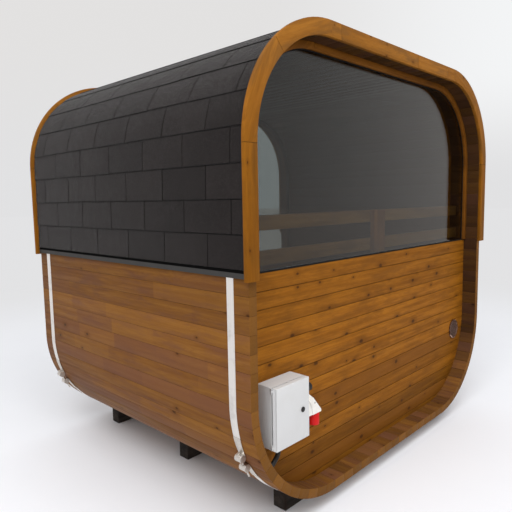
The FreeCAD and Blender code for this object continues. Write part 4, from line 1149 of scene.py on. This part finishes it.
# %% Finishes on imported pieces
for finish, width, kept_nodes in (
        (band_finish, 0.0004, ("front_band", "rear_band")),
        (tension_finish, 0.0006, ("front_tensioners", "rear_tensioners")),
        (flashing_finish, 0.0006, ("eaves_flashings",)),
        (post_finish, 0.002, ("door_posts", "door_leaf_frame")),
        (post_finish, 0.003, ("backrest_post",)),
        (post_finish, 0.004, ("door_handle",)),
        (rail_finish, 0.002, ("door_head", "door_threshold")),
        (rail_finish, 0.004, ("backrest_rails",)),
        (pane_finish, 0, ("window_glass", "door_end_side_lights", "door_glass")),
        (seal_finish, 0.001, ("window_sill", "window_gasket")),
        (hinge_finish, 0.001, ("door_hinges",)),
        (hinge_finish, 0.0006, ("supply_box_plate",)),
        (lock_finish, 0.0006, ("supply_box_lock",)),
        (lock_finish, 0.0008, ("inlet_gland",)),
        (inlet_finish, 0.003, ("inlet_housing",)),
        (collar_finish, 0.0015, ("inlet_collar",)),
        (conduit_finish, 0, ("supply_conduit",))):
    for node in kept_nodes:
        dress(node, finish, width)

# %% [markdown]
# ## Vent
# The air vent is a turned ring with a brown wire mesh set back in it. The ring is a rectangle spun
# once round, its front edges rounded. The mesh is two rows of thin wires, each cut to the ring.

# %% Vent ring and mesh
vent_finish = steel_finish("brown_vent_metal", paint(176, 146, 134), (200.0, 200.0, 200.0), 0.38)
shade_finish = plastic_finish("vent_duct_painted_shade", paint(40, 29, 24), paint(60, 44, 36), 0.7)
vent_low, vent_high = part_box("vent_grille")
vent_middle = (vent_low + vent_high) / 2
vent_radius = (vent_high.x - vent_low.x) / 2
rim_width = 0.010
ring = spun_block("vent_ring", vent_radius - rim_width, vent_radius, vent_low.y, vent_high.y, 0, 360, 64)
open_mesh(ring)
bpy.ops.mesh.remove_doubles(threshold=0.00005)
close_mesh()
ring.data.transform(Matrix.Translation((vent_middle.x, 0, vent_middle.z)))


def on_front_rim(middle, way):
    along = way.normalized()
    return (abs(middle.y - vent_low.y) < 0.0001 and abs(along.y) < 0.1 and
            abs(along.dot((middle - vent_middle).normalized())) < 0.5)


ease(ring, 0.0025, 3, on_front_rim)
smooth(ring, 50)
wires = []
wire_pitch, wire_radius = 0.0075, 0.0010
wire_count = int((vent_radius - rim_width) / wire_pitch)
depth = vent_low.y + 0.0045
for number in range(-wire_count, wire_count + 1):
    off = number * wire_pitch
    half = math.sqrt((vent_radius - 0.008) ** 2 - off ** 2)
    wires.append(bar("wire", (vent_middle.x - half, depth, vent_middle.z + off),
                     (vent_middle.x + half, depth, vent_middle.z + off), wire_radius, 6))
    wires.append(bar("wire", (vent_middle.x + off, depth + 0.0012, vent_middle.z - half),
                     (vent_middle.x + off, depth + 0.0012, vent_middle.z + half), wire_radius, 6))
vent = join("vent_ring_and_mesh", [ring] + wires)
fit_piece(vent, "cabin", "vent_metal", vent_finish, "vent_grille")
# A dark disc at the back of the vent is painted shade for the duct behind the mesh.
duct = bar("vent_duct_shade", (vent_middle.x, vent_high.y - 0.0008, vent_middle.z),
           (vent_middle.x, vent_high.y - 0.0001, vent_middle.z), vent_radius - 0.009, 48)
ease(duct, 0.0002, 1)
fit_piece(duct, "cabin", "vent_metal", shade_finish)

# %% [markdown]
# ## Floor, light and backdrop
# The photograph is a studio shot on a white sweep. A large pale floor catches the shadow and fades
# into the backdrop a few metres out. The world gives an even light, and two large soft lamps hang
# high in front and on the left. Camera, mirror and glass rays see pale greys of the backdrop instead.

# %% Floor
bpy.ops.object.select_all(action="DESELECT")
bpy.ops.mesh.primitive_plane_add(size=120)
floor = bpy.context.object
floor.name = "studio_floor"
floor_finish, w, shader = new_finish("studio_floor_paper")
spot = w.spot()
fleck = w.span(w.noise(spot, 2.0, 3.0, 0.6), 0.3, 0.7, 0.0, 0.3)
set_shader(w, shader, w.mix(fleck, (0.90, 0.915, 0.955, 1.0), (0.87, 0.885, 0.93, 1.0)), 0.6,
           Specular_IOR_Level=0.1)
light = w.add("ShaderNodeLightPath").outputs
# Mirror rays see the floor as a painted reflection colour, darker and warmer towards the right, where the
# window end mirrors it.
before_window = w.span(w.parts(spot)[0], -0.2, 1.0)
mirrored = w.mix(before_window, (0.75, 0.72, 0.71, 1.0), (0.56, 0.52, 0.50, 1.0))
seen = w.mix(light["Is Glossy Ray"], (0.765, 0.765, 0.775, 1.0), mirrored)
backdrop = w.add("ShaderNodeEmission", None, Color=seen, Strength=1.0)
fade = w.times(w.span(w.length(spot), 2.6, 7.0), light["Is Camera Ray"])
w.show(w.math("MAXIMUM", fade, light["Is Glossy Ray"]), shader, backdrop)
floor.data.materials.append(floor_finish)

# %% Light and backdrop
world = bpy.data.worlds.new("studio")
bpy.context.scene.world = world
world.use_nodes = True
w = Wiring(world.node_tree)
gaze = w.add("ShaderNodeTexCoord").outputs["Generated"]
way = w.parts(gaze)
dot = w.add("ShaderNodeVectorMath", {"operation": "DOT_PRODUCT"}, i0=gaze, i1=camera_right)
rightness = dot.outputs["Value"]
bright = w.times(w.span(rightness, 0.0, 0.45), w.span(way[2], 0.02, 0.22))
tone = w.mix(w.span(way[2], 0.0, 0.30), (0.755, 0.755, 0.765, 1.0), (0.765, 0.755, 0.75, 1.0))
tone = w.mix(bright, tone, (0.90, 0.91, 0.92, 1.0))
level = w.math("SUBTRACT", w.span(way[0], 0.15, 0.65, 1.0, 0.60), w.span(way[0], 0.70, 0.97, 0.0, -0.28))
light = w.add("ShaderNodeLightPath").outputs
unlit = w.math("MAXIMUM", light["Is Camera Ray"], light["Is Transmission Ray"])
seen = w.mix(unlit, w.shade((0.66, 0.605, 0.575), level), tone)
shown = w.add("ShaderNodeBackground", None, Color=seen, Strength=1.0)
given = w.add("ShaderNodeBackground", None, Color=(1.0, 1.0, 1.0, 1.0), Strength=0.84)
w.show(w.math("MAXIMUM", unlit, light["Is Glossy Ray"]), given, shown, "World Output")


def soft_light(name, place, target, size, power):
    lamp = bpy.data.lights.new(name, "AREA")
    lamp.shape = "SQUARE"
    lamp.size = size
    lamp.energy = power
    lamp_object = bpy.data.objects.new(name, lamp)
    bpy.context.scene.collection.objects.link(lamp_object)
    aim = (Vector(target) - Vector(place)).to_track_quat("-Z", "Y")
    lamp_object.matrix_world = Matrix.Translation(place) @ aim.to_matrix().to_4x4()


soft_light("front_light", (-1.0, -4.2, 6.2), (-0.6, -0.8, 0.6), 4.0, 128)
soft_light("left_light", (-4.5, -2.2, 6.0), (-1.6, -0.8, 0.3), 3.0, 178)
bpy.context.scene.view_settings.view_transform = "Standard"
